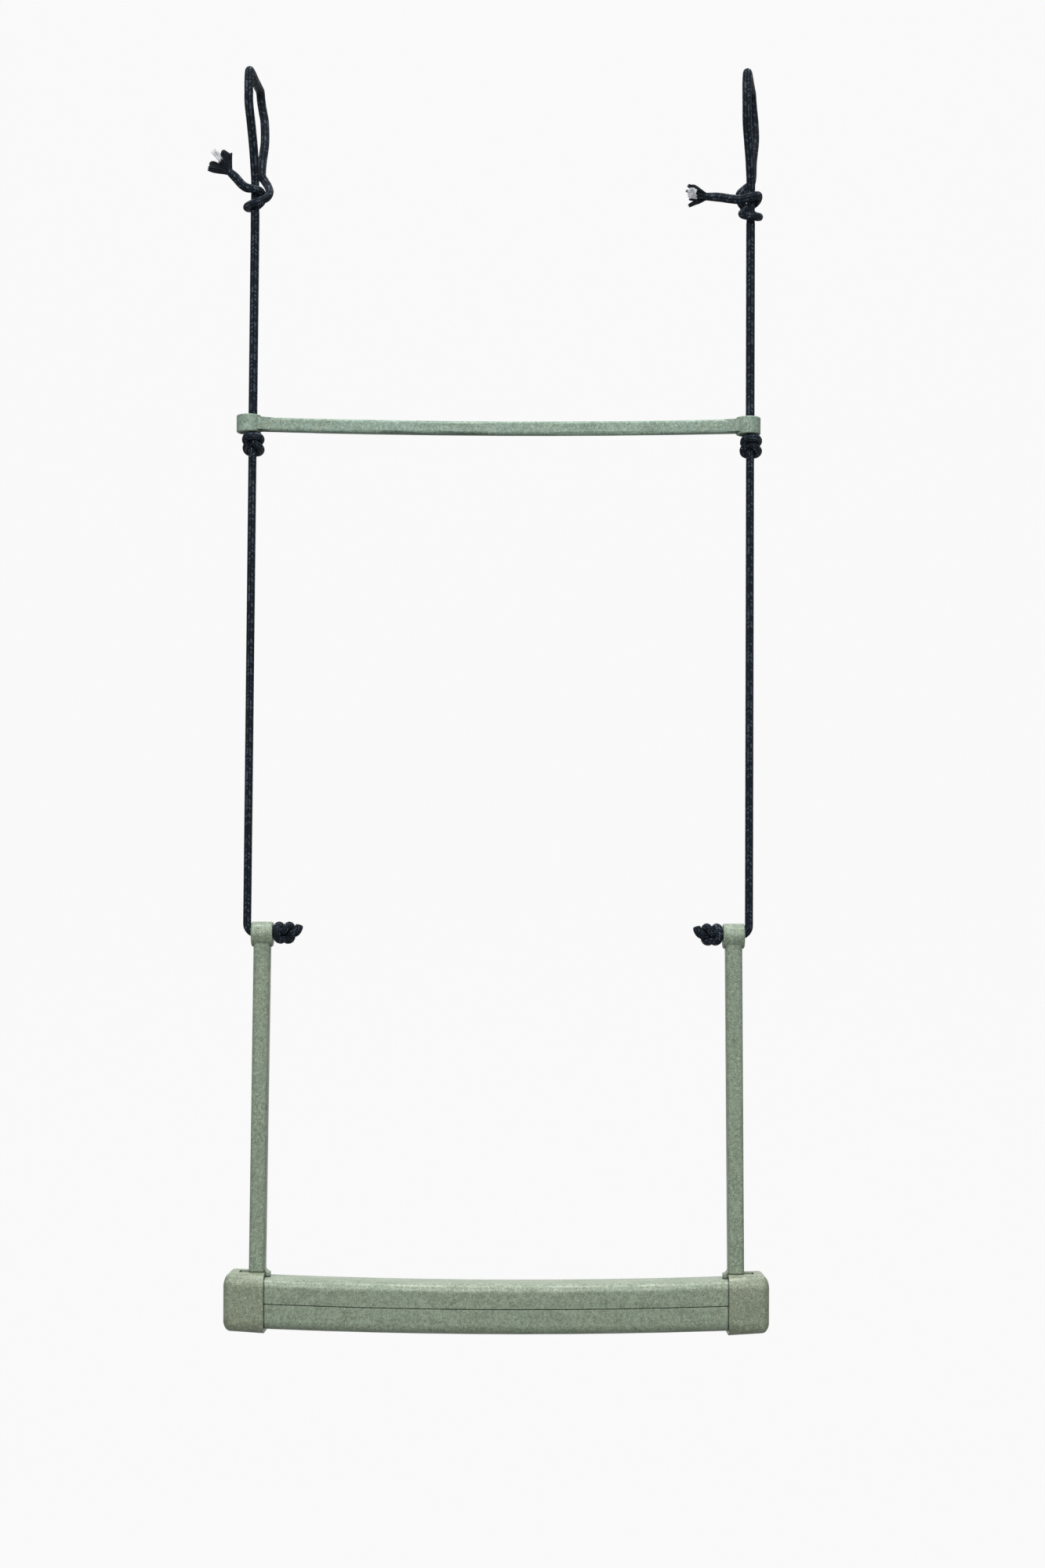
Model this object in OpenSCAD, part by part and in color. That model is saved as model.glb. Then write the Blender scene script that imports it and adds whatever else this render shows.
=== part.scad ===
// Hanging bird swing: a moulded perch with end caps and upright arms, a moulded spreader bar,
// and two braided ropes with knots. All lengths are in millimetres.
// The origin is the middle of the resting face of the two top loops. Z points up, X runs along
// the perch, and the viewer stands at the side of negative Y.

/* [Perch] */
// Height of the perch bar
perch_h = 37; // [30:1:45]
// Depth of the perch bar, front to back
perch_w = 40; // [30:1:50]
// Radius of the long edges of the perch bar
perch_edge_r = 6.5; // [4:0.5:10]
// Length of perch bar between the mouths of the end caps
perch_span = 338.4; // [280:1:400]
// How far the middle of the perch bar hangs below its ends
perch_bow = 3.3; // [2:0.1:6]
// Wall of the two perch shells
shell_wall = 2.6; // [2:0.1:4]
// Height of the lip that lines the two shells up
lip_h = 2.2; // [1.5:0.1:4]
// Thickness of the cross ribs in the shells
rib_t = 1.8; // [1.2:0.1:3]
// Number of cross ribs in each shell
rib_count = 7; // [3:2:11]
// Depth of the groove along the seam of the shells
seam_groove = 0.5; // [0.3:0.1:0.9]
// Level of the bottom of the perch bar at its middle, below the resting face
perch_drop = 914; // [880:1:960]

/* [End caps] */
// Length of an end cap
cap_len = 29.4; // [26:0.2:40]
// Wall of an end cap round the perch
cap_wall = 3; // [2.4:0.1:4]
// How much the cap draws in towards its closed end, on each side
cap_draft = 0.8; // [0.4:0.1:1.4]
// Wall across the closed end of an end cap
cap_end_wall = 4; // [3:0.5:6]
// Rounding of the closed end's corners, across the cap
cap_corner_r = 6; // [4:0.5:8]
// Rounding of the closed end's corners, along the cap
cap_corner_len = 5.2; // [4:0.2:8]
// Rounding of the closed end's corners, down from the top
cap_corner_top = 10; // [6:0.5:12]
// Rounding of the closed end's corners, up from the bottom
cap_corner_low = 8; // [6:0.5:12]
// Length of the latch window beside the arm
latch_window = 8; // [4:0.5:9]

/* [Arms] */
// Level of the eyes below the resting face
eye_drop = 623; // [600:1:660]
// Distance of each eye's middle beyond the mouth of its end cap
eye_beyond = 3.5; // [2:0.1:5]
// Outside diameter of an eye
eye_d = 18.5; // [16:0.5:22]
// Length of an eye along its bore
eye_len = 16; // [14:0.5:20]
// Bore of an eye
eye_bore = 8.2; // [8:0.1:9]
// Rounding of the rims of an eye
eye_rim_r = 1.4; // [1:0.1:2]
// Width of an arm below its eye
arm_top_w = 12.3; // [10:0.1:14]
// Width of an arm at its cap
arm_foot_w = 11.7; // [10:0.1:14]
// Depth of an arm below its eye
arm_top_depth = 13; // [11:0.5:16]
// Depth of an arm at its cap
arm_foot_depth = 17; // [14:0.5:20]
// Radius of the long edges of an arm
arm_edge_r = 2.6; // [1.5:0.1:3.5]
// How far each arm leans outward towards its cap
arm_splay = 2.6; // [0:0.1:5]
// Length of the foot that reaches into the perch
foot_len = 26; // [18:0.5:30]
// Reach of the latch barb on the foot
barb = 1.4; // [1:0.1:2]
// Diameter of the round moulding mark on the front of an arm
gate_d = 2.6; // [2:0.1:4]
// Distance of the moulding mark below the eye
gate_drop = 77; // [60:1:100]

/* [Spreader bar] */
// Level of the middle of the rings below the resting face
ring_drop = 249; // [230:1:270]
// Distance between the middles of the two rings
ring_spacing = 366.2; // [360:0.1:372]
// How far the spreader bar hangs off to the left on its loose rings
ring_shift = 1.2; // [0:0.1:2]
// Outside diameter of a ring
ring_d = 18; // [17:0.5:22]
// Height of a ring
ring_h = 12.7; // [10:0.1:14]
// Bore of a ring
ring_bore = 13.2; // [12.8:0.1:13.6]
// Rounding of the rims of a ring
ring_rim_r = 1; // [0.6:0.1:1.1]
// Height of the spreader bar
bar_h = 10; // [8:0.1:12]
// Depth of the spreader bar
bar_w = 8; // [6:0.1:10]
// Radius of the long edges of the spreader bar
bar_edge_r = 2.2; // [1:0.1:3]
// How far the middle of the spreader bar hangs below its ends
bar_bow = 2.5; // [1:0.1:5]
// Length of the widening where the bar runs into a ring
bar_root = 9; // [6:0.5:14]
// Width of the widening at the ring
bar_root_w = 12.5; // [9:0.5:14]

/* [Rope] */
// Diameter of the rope
rope_d = 6; // [5:0.1:6.2]
// Diameter of the rope where a knot pinches it
pinched_d = 4.6; // [4:0.1:4.7]
// Distance between the middles of rope strands that lie together in a knot
knot_pitch = 5.6; // [5.5:0.05:6]
// Distance of the left rope from the middle, at its top
rope_top_left_x = 180.5; // [178:0.1:184]
// Distance of the right rope from the middle, at its top
rope_top_right_x = 183; // [180:0.1:184]
// Level of the hitch of the left loop
hitch_drop_left = 85; // [80:0.5:88]
// Level of the hitch of the right loop
hitch_drop_right = 91.5; // [86:0.5:92]
// Level at which both ropes flex as the swing swings
flex_drop = 100.5; // [100:0.5:104]
// Length of rope between the flex points for the two directions of swing
neck_len = 7; // [6.8:0.1:9]
// Height above an eye's middle at which the rope end flexes
end_flex_rise = 10; // [9.8:0.1:12]

/* [Fits] */
// Gap between the perch shells and the end caps
cap_gap = 0.3; // [0.2:0.05:0.5]
// Gap round the foot of an arm
foot_gap = 0.3; // [0.2:0.05:0.5]
// Gap between the two lips of the perch shells
lip_gap = 0.15; // [0.1:0.05:0.3]
// Gap between a ring and the stop knot below it
ring_gap = 0.85; // [0.6:0.05:0.9]
// Gap between the rope and the face that it bends over, and at the flex points
rope_gap = 0.3; // [0.3:0.05:0.5]
// Gap between the end knot and the eye
knot_gap = 0.5; // [0.4:0.05:0.8]

/* [Hidden] */
$fn = 96;

// Fineness of the rounded corners that are joined into one skin
blend_fn = 24;
corner_fn = 40;
shaft_fn = 16;
// A long bow is drawn in two steps, so that its lowest point stays where it is
bow_fn_share = 1.5;
bow_fn_max = 240;
// Overrun of every cut
over = 1;
// Length of a thin slice that carries an outline into a blend
slice = 0.2;

plastic = "darkseagreen";
cord_black = [0.10, 0.10, 0.11];

// The perch bar follows a circle far above it
perch_arc_r = (pow(perch_span / 2, 2) + pow(perch_bow, 2)) / (2 * perch_bow);
perch_mid_z = perch_h / 2 - perch_drop;
perch_arc_z = perch_mid_z + perch_arc_r;
mouth_angle = asin(perch_span / 2 / perch_arc_r);
mouth_z = perch_arc_z - perch_arc_r * cos(mouth_angle);
perch_end_inset = cap_len - cap_end_wall - cap_gap;
perch_half_angle = mouth_angle + asin(perch_end_inset / perch_arc_r);
cap_h = perch_h + 2 * cap_gap + 2 * cap_wall;
cap_w = perch_w + 2 * cap_gap + 2 * cap_wall;
cap_top_z = mouth_z + cap_h / 2;
shell_top_z = mouth_z + perch_h / 2;
cap_edge_r = perch_edge_r + cap_gap + cap_wall;

// The arm
eye_x = perch_span / 2 + eye_beyond;
eye_z = -eye_drop;
arm_foot_x = eye_x + arm_splay;
arm_inner_x = arm_foot_x - arm_foot_w / 2;
arm_seat_z = cap_top_z + foot_gap;
toe_len = 3.4;
toe_h = 6;
toe_root = 0.8;
foot_w = arm_foot_w - 2;
foot_depth = arm_foot_depth - 3;
foot_chamfer = 3;
barb_h = 4;
gate_depth = 0.3;
gate_share = (gate_drop - eye_d / 4) / (eye_z - eye_d / 4 - arm_seat_z);
gate_face_y = (arm_top_depth + gate_share * (arm_foot_depth - arm_top_depth)) / 2;

// The spreader bar
ring_z = -ring_drop;
bar_arc_r = (pow(ring_spacing / 2, 2) + pow(bar_bow, 2)) / (2 * bar_bow);
bar_arc_z = ring_z + bar_arc_r - bar_bow;
ring_wall = (ring_d - ring_bore) / 2;
bar_half_angle = asin((ring_spacing / 2 - ring_bore / 2 - ring_wall / 2) / bar_arc_r);

// The ropes
rope_r = rope_d / 2;
pinched_r = pinched_d / 2;
flex_z = -flex_drop;
sway_z = flex_z - neck_len;
end_flex_z = eye_z + end_flex_rise;
rope_foot_x = eye_x + eye_len / 2 + rope_r + rope_gap;
stub_rise = (eye_bore - rope_d) / 4;
stub_z = eye_z + stub_rise;
rope_sides = 10;
knot_steps = 3;
knot_end_share = 1.6;
knot_reach = knot_end_share * knot_pitch;

// Half of an overhand knot, from the middle of its returning strand to the strand that leaves
// downward, in shares of the knot pitch. The other half is the same, turned half round X.
half_knot_shares = [
    [-0.66, 0.00, 0.00],
    [-0.86, -0.36, 0.42],
    [-0.66, -0.94, 0.80],
    [0.05, -1.15, 0.92],
    [0.82, -0.84, 0.88],
    [1.08, -0.02, 0.64],
    [0.80, 0.56, 0.32],
    [0.32, 0.52, -0.10],
    [0.08, 0.22, -0.64],
    [0.00, 0.02, -1.15],
    [0.00, 0.00, -1.60]
];

// The two hitches round the standing rope, from the strand that comes down behind to the tail,
// in shares of the knot pitch
hitch_left_shares = [
    [0.75, 1.15, 3.60],
    [1.20, 1.00, 2.75],
    [1.66, 0.55, 1.95],
    [1.90, -0.15, 1.02],
    [1.60, -0.98, 0.12],
    [0.60, -1.18, -0.42],
    [-0.40, -1.00, -0.75],
    [-1.02, -0.20, -0.92],
    [-0.72, 0.76, -0.80],
    [0.20, 1.06, -0.40],
    [0.90, 0.44, 0.20],
    [0.82, -0.52, 0.95],
    [0.05, -1.10, 1.20],
    [-0.90, -1.05, 1.35]
];
hitch_right_shares = [
    [0.18, 1.43, 4.20],
    [-0.68, 1.21, 3.25],
    [-1.36, 0.80, 2.50],
    [-1.32, 1.36, 1.79],
    [-0.68, 1.79, 0.98],
    [0.18, 1.82, 0.27],
    [0.82, 1.11, -0.36],
    [1.11, 0.11, -0.68],
    [0.68, -0.93, -0.91],
    [-0.34, -1.11, -0.88],
    [-1.09, -0.39, -0.48],
    [-0.88, 0.61, 0.12],
    [0.04, 0.98, 0.89],
    [0.86, 0.54, 1.52],
    [0.93, -0.50, 1.95],
    [0.11, -1.32, 1.62]
];

// Routes of the two top loops beside the rope's own line: up the front, over and down the back
loop_front_left = [
    [0, -1, -66], [-0.5, -8, -50], [-1.5, -17, -34], [-2.5, -24, -21], [-2.5, -25.6, -13],
    [-2.5, -25.6, -5], [-2.2, -24.7, 2], [-1.6, -19, 3], [-0.6, 0, 3], [0.6, 19, 3]
];
loop_back_left = [
    [1.2, 24.7, 2], [1.9, 25.6, -5], [3.2, 25.6, -13], [4.6, 24, -21], [5.4, 17.5, -38], [4.2, 11, -54]
];
loop_front_right = [
    [0, -1, -72], [-1.4, -8, -56], [-3, -14, -44], [-4.4, -19, -32], [-5, -24.5, -20], [-5.2, -25.6, -12],
    [-5.2, -25.6, -5], [-4.8, -24.7, 2], [-3.8, -19, 3], [-1.2, 0, 3], [1.4, 19, 3]
];
loop_back_right = [
    [2.4, 24.7, 2], [3, 25.6, -5], [3.8, 25.6, -13], [4.4, 24.2, -21], [4.4, 20, -34], [2.2, 11.5, -52]
];

// Routes of the two loose tails beside the rope's own line, from the hitch to the frayed tip
tail_left = [[-9, -6.5, -75.5], [-14, -6, -70.3], [-19, -5.5, -65.5], [-23.5, -5, -61], [-29, -5, -57]];
tail_right = [[-8, -7.4, -85], [-15, -7, -84.8], [-24, -6, -83.4], [-33, -5, -82.7], [-41, -4, -83]];
tail_radius_shares = [1, 1, 1, 1.15, 1.7];

// Route of the cut end behind the end knot, from the knot's own middle, along and up
end_tail = [[9.6, 0, 1.2], [11.4, 0, 3.4]];

function unit(v) = v / norm(v);

function spline_at(a, b, c, d, t) =
    0.5 * (2 * b + (c - a) * t + (2 * a - 5 * b + 4 * c - d) * t * t
           + (3 * b - a - 3 * c + d) * t * t * t);

// A smooth route through hand-placed points, with so many steps from each point to the next
function smooth_route(pts, steps) = [
    for (i = [0 : len(pts) - 2])
        for (s = [0 : i == len(pts) - 2 ? steps[i] : steps[i] - 1])
            spline_at(pts[max(i - 1, 0)], pts[i], pts[i + 1], pts[min(i + 2, len(pts) - 1)], s / steps[i])
];

function even_steps(pts, steps) = [for (p = pts) steps];

function tangents(pts) = [
    for (i = [0 : len(pts) - 1]) unit(pts[min(i + 1, len(pts) - 1)] - pts[max(i - 1, 0)])
];

steep_limit = 0.8;
function side_of(t) = abs(t[0]) < steep_limit ? [1, 0, 0] : [0, 1, 0];

function square_to(n, t) = unit(n - t * (n * t));

// Normals that turn as little as they can along the route
function normals(t) = [
    for (i = 0, n = square_to(side_of(t[0]), t[0]);
         i < len(t);
         i = i + 1, n = i < len(t) ? square_to(n, t[i]) : n) n
];

// Least distance between the middles of strands that lie apart along one tube, less its thickness
function own_gap(pts, thick, apart) = min([
    for (i = [0 : len(pts) - 1])
        for (j = [i + apart : 1 : len(pts) - 1]) norm(pts[i] - pts[j])
]) - thick;

// One closed rope skin along a route, with a radius at each of its points
module rope(pts, radii, directions = []) {
    t = len(directions) > 0 ? directions : tangents(pts);
    n = normals(t);
    last = len(pts) - 1;
    rings = [
        for (i = [0 : last])
            for (s = [0 : rope_sides - 1])
                let (a = 360 * s / rope_sides)
                    pts[i] + radii[i] * (cos(a) * n[i] + sin(a) * cross(t[i], n[i]))
    ];
    sides = [
        for (i = [0 : last - 1])
            for (s = [0 : rope_sides - 1])
                let (a = i * rope_sides + s,
                     b = i * rope_sides + (s + 1) % rope_sides)
                    each [[a, a + rope_sides, b], [b, a + rope_sides, b + rope_sides]]
    ];
    start_cap = [[for (s = [0 : rope_sides - 1]) s]];
    end_cap = [[for (s = [rope_sides - 1 : -1 : 0]) last * rope_sides + s]];
    polyhedron(points = rings, faces = concat(sides, start_cap, end_cap));
}

// The rounded end of a rope that turns about its own flex point
dome_angles = [75, 50, 25];
function dome(centre, dir) = [for (a = dome_angles) centre + dir * rope_r * sin(a)];
dome_radii = [for (a = dome_angles) rope_r * cos(a)];

// A straight stretch of rope, domed at one or both ends
module straight_rope(from, to, dome_from = false, dome_to = false) {
    dir = unit(to - from);
    head = dome_from ? dome(from, -dir) : [];
    tail = dome_to ? dome(to, dir) : [];
    tail_back = [for (i = [len(tail) - 1 : -1 : 0]) tail[i]];
    tail_radii = [for (i = [len(tail) - 1 : -1 : 0]) dome_radii[i]];
    rope(concat(head, [from, to], tail_back),
         concat(dome_from ? dome_radii : [], [rope_r, rope_r], tail_radii));
}

// The route of an overhand knot about its own middle, from above to below
half_knot = [for (p = half_knot_shares) p * knot_pitch];
knot_route = smooth_route(
    concat([for (i = [len(half_knot) - 1 : -1 : 1]) [half_knot[i][0], -half_knot[i][1], -half_knot[i][2]]],
           half_knot),
    even_steps([for (i = [1 : 2 * len(half_knot)]) i], knot_steps));
knot_apart = 3 * knot_steps;
knot_top = max([for (p = knot_route) p[2]]) + pinched_r;
stop_knot_z = ring_z - ring_h / 2 - ring_gap - knot_top;
end_knot_x = eye_x - eye_len / 2 - knot_gap - knot_top;

// The rope is pinched wherever it lies inside the knot
function pinch(u) = u > 1 ? rope_r : pinched_r + (rope_r - pinched_r) * pow(max(u, 0), 2);
knot_taper_share = 0.9;
knot_axis_share = 0.25;
function knot_radius(p) = pinch(
    norm([p[0], p[1]]) > knot_pitch * knot_axis_share ? 0
    : (abs(p[2]) / knot_pitch - knot_taper_share) / (knot_end_share - knot_taper_share));
knot_radii = [for (p = knot_route) knot_radius(p)];
echo(stop_knot_least_gap = own_gap(knot_route, pinched_d, knot_apart));

// Each hitch about its own middle, without the strands that run into it
function bare_hitch(side) =
    let (shares = hitch_shares(side))
        smooth_route([for (p = shares) p * knot_pitch], even_steps(shares, knot_steps));
for (side = [-1, 1]) {
    echo(side = side, hitch_least_gap = own_gap(bare_hitch(side), pinched_d, knot_apart));
    echo(side = side,
         hitch_gap_to_standing_rope = min([for (p = bare_hitch(side)) norm([p[0], p[1]])]) - pinched_d);
}

// Rounded rectangle as a flat outline, from true arcs
module rounded(w, h, r) {
    square([w - 2 * r, h], center = true);
    square([w, h - 2 * r], center = true);
    for (x = [-1, 1], y = [-1, 1])
        translate([x * (w / 2 - r), y * (h / 2 - r)]) circle(r);
}

// Turns a flat outline about a far axis that lies level, front to back, so that it bows down
module bowed(arc_r, arc_z, from_angle, to_angle) {
    sweep = to_angle - from_angle;
    translate([0, 0, arc_z])
        rotate([90, 0, 0])
            rotate([0, 0, from_angle - 90])
                rotate_extrude(angle = sweep, $fn = min(bow_fn_max, ceil(bow_fn_share * 360 / sweep)))
                    translate([arc_r, 0]) children();
}

// Puts a piece in the tilted place at the mouth of an end cap, for either side
module at_mouth(side) {
    translate([0, 0, perch_arc_z])
        rotate([0, -side * mouth_angle, 0])
            translate([0, 0, -perch_arc_r])
                mirror([side < 0 ? 1 : 0, 0, 0]) children();
}

// Section of the hollow perch bar: the outline's width is the bar's height
module perch_wall() {
    difference() {
        rounded(perch_h, perch_w, perch_edge_r);
        rounded(perch_h - 2 * shell_wall, perch_w - 2 * shell_wall, perch_edge_r - shell_wall);
        for (y = [-1, 1])
            translate([0, y * perch_w / 2]) rotate(45) square(seam_groove * sqrt(2), center = true);
    }
}

module upper_section() {
    difference() {
        perch_wall();
        translate([0, -perch_w]) square([perch_h, 2 * perch_w]);
        translate([-lip_h - lip_gap, -perch_w / 2 + shell_wall / 2])
            square([lip_h + lip_gap + over, perch_w - shell_wall]);
    }
}

module lower_section() {
    difference() {
        perch_wall();
        translate([-perch_h, -perch_w]) square([perch_h, 2 * perch_w]);
    }
    for (y = [-1, 1])
        translate([0, y * (perch_w / 2 - shell_wall * 3 / 4 - lip_gap / 2)])
            square([2 * lip_h, shell_wall / 2 - lip_gap], center = true);
}

// Section of a cross rib, which reaches half way into the walls
module rib_section(low) {
    intersection() {
        rounded(perch_h - shell_wall, perch_w - shell_wall, perch_edge_r - shell_wall / 2);
        translate([low ? lip_h + lip_gap : -perch_h, -perch_w])
            square([perch_h - lip_h - lip_gap, 2 * perch_w]);
    }
}

rib_pitch_angle = 2 * mouth_angle / (rib_count + 1);
rib_half_angle = asin(rib_t / 2 / perch_arc_r);
rib_opening_share = 0.45;

module ribs(low) {
    difference() {
        for (i = [1 : rib_count])
            let (a = -mouth_angle + i * rib_pitch_angle)
                bowed(perch_arc_r, perch_arc_z, a - rib_half_angle, a + rib_half_angle)
                    rib_section(low);
        bowed(perch_arc_r, perch_arc_z, -mouth_angle, mouth_angle)
            square([perch_h, perch_w] * rib_opening_share, center = true);
    }
}

// The room that an arm's foot takes in the top of the cap and of the upper shell
module foot_room(side, inner, window) {
    outer = arm_foot_x + foot_w / 2 + foot_gap + window;
    low = shell_top_z - perch_h / 4;
    start = side > 0 ? inner : -outer;
    translate([start, -foot_depth / 2 - foot_gap, low])
        cube([outer - inner, foot_depth + 2 * foot_gap, cap_top_z - low + over]);
}

module perch_upper_shell() {
    color(plastic)
        difference() {
            union() {
                bowed(perch_arc_r, perch_arc_z, -perch_half_angle, perch_half_angle) upper_section();
                ribs(false);
            }
            for (side = [-1, 1])
                foot_room(side, arm_foot_x - foot_w / 2 - foot_gap, barb + foot_gap);
        }
}

module perch_lower_shell() {
    color(plastic)
        union() {
            bowed(perch_arc_r, perch_arc_z, -perch_half_angle, perch_half_angle) lower_section();
            ribs(true);
        }
}

// Outer skin of the right end cap: its mouth and its closed end stand upright
module cap_skin() {
    end_h = cap_h - 2 * cap_draft;
    end_w = cap_w - 2 * cap_draft;
    end_z = mouth_z + cap_len * tan(mouth_angle);
    hull() {
        for (y = [-1, 1], z = [-1, 1]) {
            corner = [cap_corner_len, cap_corner_r, z > 0 ? cap_corner_top : cap_corner_low];
            translate([perch_span / 2, y * (cap_w / 2 - cap_edge_r), mouth_z + z * (cap_h / 2 - cap_edge_r)])
                rotate([0, 90, 0]) cylinder(r = cap_edge_r, h = slice, $fn = 2 * blend_fn);
            translate([perch_span / 2 + cap_len - corner[0],
                       y * (end_w / 2 - corner[1]),
                       end_z + z * (end_h / 2 - corner[2])])
                scale(corner) sphere(1, $fn = corner_fn);
        }
    }
}

module end_cap(side) {
    color(plastic)
        difference() {
            mirror([side < 0 ? 1 : 0, 0, 0]) cap_skin();
            at_mouth(side)
                translate([-2 * over, 0, 0])
                    rotate([90, 0, 90])
                        linear_extrude(cap_len - cap_end_wall + 2 * over)
                            rounded(perch_w + 2 * cap_gap, perch_h + 2 * cap_gap,
                                    perch_edge_r + cap_gap);
            foot_room(side, perch_span / 2 - over, latch_window);
        }
}

// The shaft of an arm, blended from under the eye to the cap
module arm_shaft() {
    top_r = arm_edge_r;
    hull() {
        for (x = [-1, 1], y = [-1, 1]) {
            translate([eye_x + x * (arm_top_w / 2 - top_r),
                       y * (arm_top_depth / 2 - top_r),
                       eye_z - eye_d / 4])
                cylinder(r = top_r, h = slice, $fn = shaft_fn);
            translate([arm_foot_x + x * (arm_foot_w / 2 - top_r),
                       y * (arm_foot_depth / 2 - top_r),
                       arm_seat_z])
                cylinder(r = top_r, h = slice, $fn = shaft_fn);
        }
    }
}

// The eye, whose bore runs along X
module eye_ring() {
    translate([eye_x, 0, eye_z])
        rotate([0, 90, 0])
            rotate_extrude()
                translate([(eye_d + eye_bore) / 4, 0])
                    rounded((eye_d - eye_bore) / 2, eye_len, eye_rim_r);
}

// The foot that drops into the cap and the upper shell, with its latch barb
module arm_foot() {
    foot_z = cap_top_z - foot_len;
    translate([arm_foot_x, foot_depth / 2, 0])
        rotate([90, 0, 0])
            linear_extrude(foot_depth)
                polygon([
                    [-foot_w / 2, arm_seat_z + slice],
                    [-foot_w / 2, foot_z + foot_chamfer],
                    [-foot_w / 2 + foot_chamfer, foot_z],
                    [foot_w / 2 - foot_chamfer, foot_z],
                    [foot_w / 2, foot_z + foot_chamfer],
                    [foot_w / 2, cap_top_z - cap_wall - cap_gap - barb_h],
                    [foot_w / 2 + barb, cap_top_z - cap_wall - 2 * cap_gap],
                    [foot_w / 2, cap_top_z - cap_wall - 2 * cap_gap],
                    [foot_w / 2, arm_seat_z + slice]
                ]);
}

// The flared toe that stands on the perch just inside the mouth of the cap
module arm_toe() {
    depth = foot_depth - 2 * foot_gap;
    toe_z = shell_top_z + foot_gap;
    translate([0, depth / 2, 0])
        rotate([90, 0, 0])
            linear_extrude(depth)
                difference() {
                    translate([arm_inner_x - toe_len, toe_z])
                        square([toe_len + foot_w / 2, cap_top_z + toe_h - toe_z]);
                    translate([arm_inner_x - toe_len, cap_top_z + toe_h])
                        scale([(toe_len + toe_root) / toe_h, 1]) circle(toe_h);
                }
}

module arm(side) {
    color(plastic)
        mirror([side < 0 ? 1 : 0, 0, 0])
            difference() {
                union() {
                    arm_shaft();
                    eye_ring();
                    arm_foot();
                    arm_toe();
                }
                translate([eye_x - eye_len, 0, eye_z])
                    rotate([0, 90, 0]) cylinder(d = eye_bore, h = 2 * eye_len);
                translate([eye_x, -gate_face_y - over, eye_z - gate_drop])
                    rotate([-90, 0, 0])
                        cylinder(d = gate_d, h = over + gate_depth, $fn = blend_fn);
            }
}

// A ring of the spreader bar before it is bored, with its outer rims rounded
module ring_blank() {
    rotate_extrude() {
        translate([0, -ring_h / 2]) square([ring_d / 2 - ring_rim_r, ring_h]);
        translate([0, ring_rim_r - ring_h / 2]) square([ring_d / 2, ring_h - 2 * ring_rim_r]);
        for (z = [-1, 1])
            translate([ring_d / 2 - ring_rim_r, z * (ring_h / 2 - ring_rim_r)]) circle(ring_rim_r);
    }
}

// The bore of a ring with a lead-in at each rim
module ring_hole() {
    lead = ring_rim_r / 2;
    cylinder(d = ring_bore, h = 2 * ring_h, center = true);
    for (z = [-1, 1])
        translate([0, 0, z * (ring_h / 2 - lead)])
            rotate([z < 0 ? 180 : 0, 0, 0])
                cylinder(r1 = ring_bore / 2, r2 = ring_bore / 2 + lead + over, h = lead + over);
}

// Where the bar widens into a ring, seen from above
module bar_widening() {
    root_h = bar_h - ring_rim_r;
    near = ring_d / 2 - ring_wall;
    translate([0, 0, -root_h / 2])
        linear_extrude(root_h)
            polygon([
                [near, -bar_root_w / 2],
                [near + ring_wall, -bar_root_w / 2],
                [near + ring_wall + bar_root, -bar_w / 2 + bar_edge_r / 2],
                [near + ring_wall + bar_root, bar_w / 2 - bar_edge_r / 2],
                [near + ring_wall, bar_root_w / 2],
                [near, bar_root_w / 2]
            ]);
}

module spreader_bar() {
    color(plastic)
        translate([-ring_shift, 0, 0])
            difference() {
                union() {
                    bowed(bar_arc_r, bar_arc_z, -bar_half_angle, bar_half_angle)
                        rounded(bar_h, bar_w, bar_edge_r);
                    for (side = [-1, 1])
                        translate([side * ring_spacing / 2, 0, ring_z])
                            rotate([0, 0, side < 0 ? 0 : 180]) {
                                ring_blank();
                                bar_widening();
                            }
                }
                for (side = [-1, 1])
                    translate([side * ring_spacing / 2, 0, ring_z]) ring_hole();
            }
}

function rope_top_x(side) = side < 0 ? -rope_top_left_x : rope_top_right_x;
function hitch_drop(side) = side < 0 ? hitch_drop_left : hitch_drop_right;
function hitch_shares(side) = side < 0 ? hitch_left_shares : hitch_right_shares;

// A point on the straight line of a rope below its top, at a level
function rope_at(side, z) =
    let (share = (sway_z - z) / (sway_z - end_flex_z),
         top = rope_top_x(side))
        [top + share * (side * rope_foot_x - top), 0, z];

loop_steps = 2;

// The whole top of a rope about its own line: up through the hitch, over in a loop, back into the
// hitch and out along the loose tail
function top_points(side) =
    let (drop = hitch_drop(side))
        [
            [
                [0, 0, flex_z + rope_r + rope_gap],
                [0, 0, -drop - knot_pitch / 2],
                [0, 0, -drop + 2 * knot_pitch]
            ],
            side < 0 ? loop_front_left : loop_front_right,
            side < 0 ? loop_back_left : loop_back_right,
            [for (p = hitch_shares(side)) p * knot_pitch - [0, 0, drop]],
            side < 0 ? tail_left : tail_right
        ];
function loop_points(side) = let (t = top_points(side)) len(t[0]) + len(t[1]) + len(t[2]);
function top_steps(side) =
    let (first = loop_points(side), last = first + len(hitch_shares(side)) - 1)
        [
            for (i = [0 : last + len(tail_radius_shares)])
                i < first || i >= last ? loop_steps : knot_steps
        ];
function top_route(side) =
    let (t = top_points(side)) smooth_route(concat(t[0], t[1], t[2], t[3], t[4]), top_steps(side));
function hitch_first(side) = loop_points(side) * loop_steps;
function hitch_last(side) = hitch_first(side) + (len(hitch_shares(side)) - 1) * knot_steps;

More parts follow.
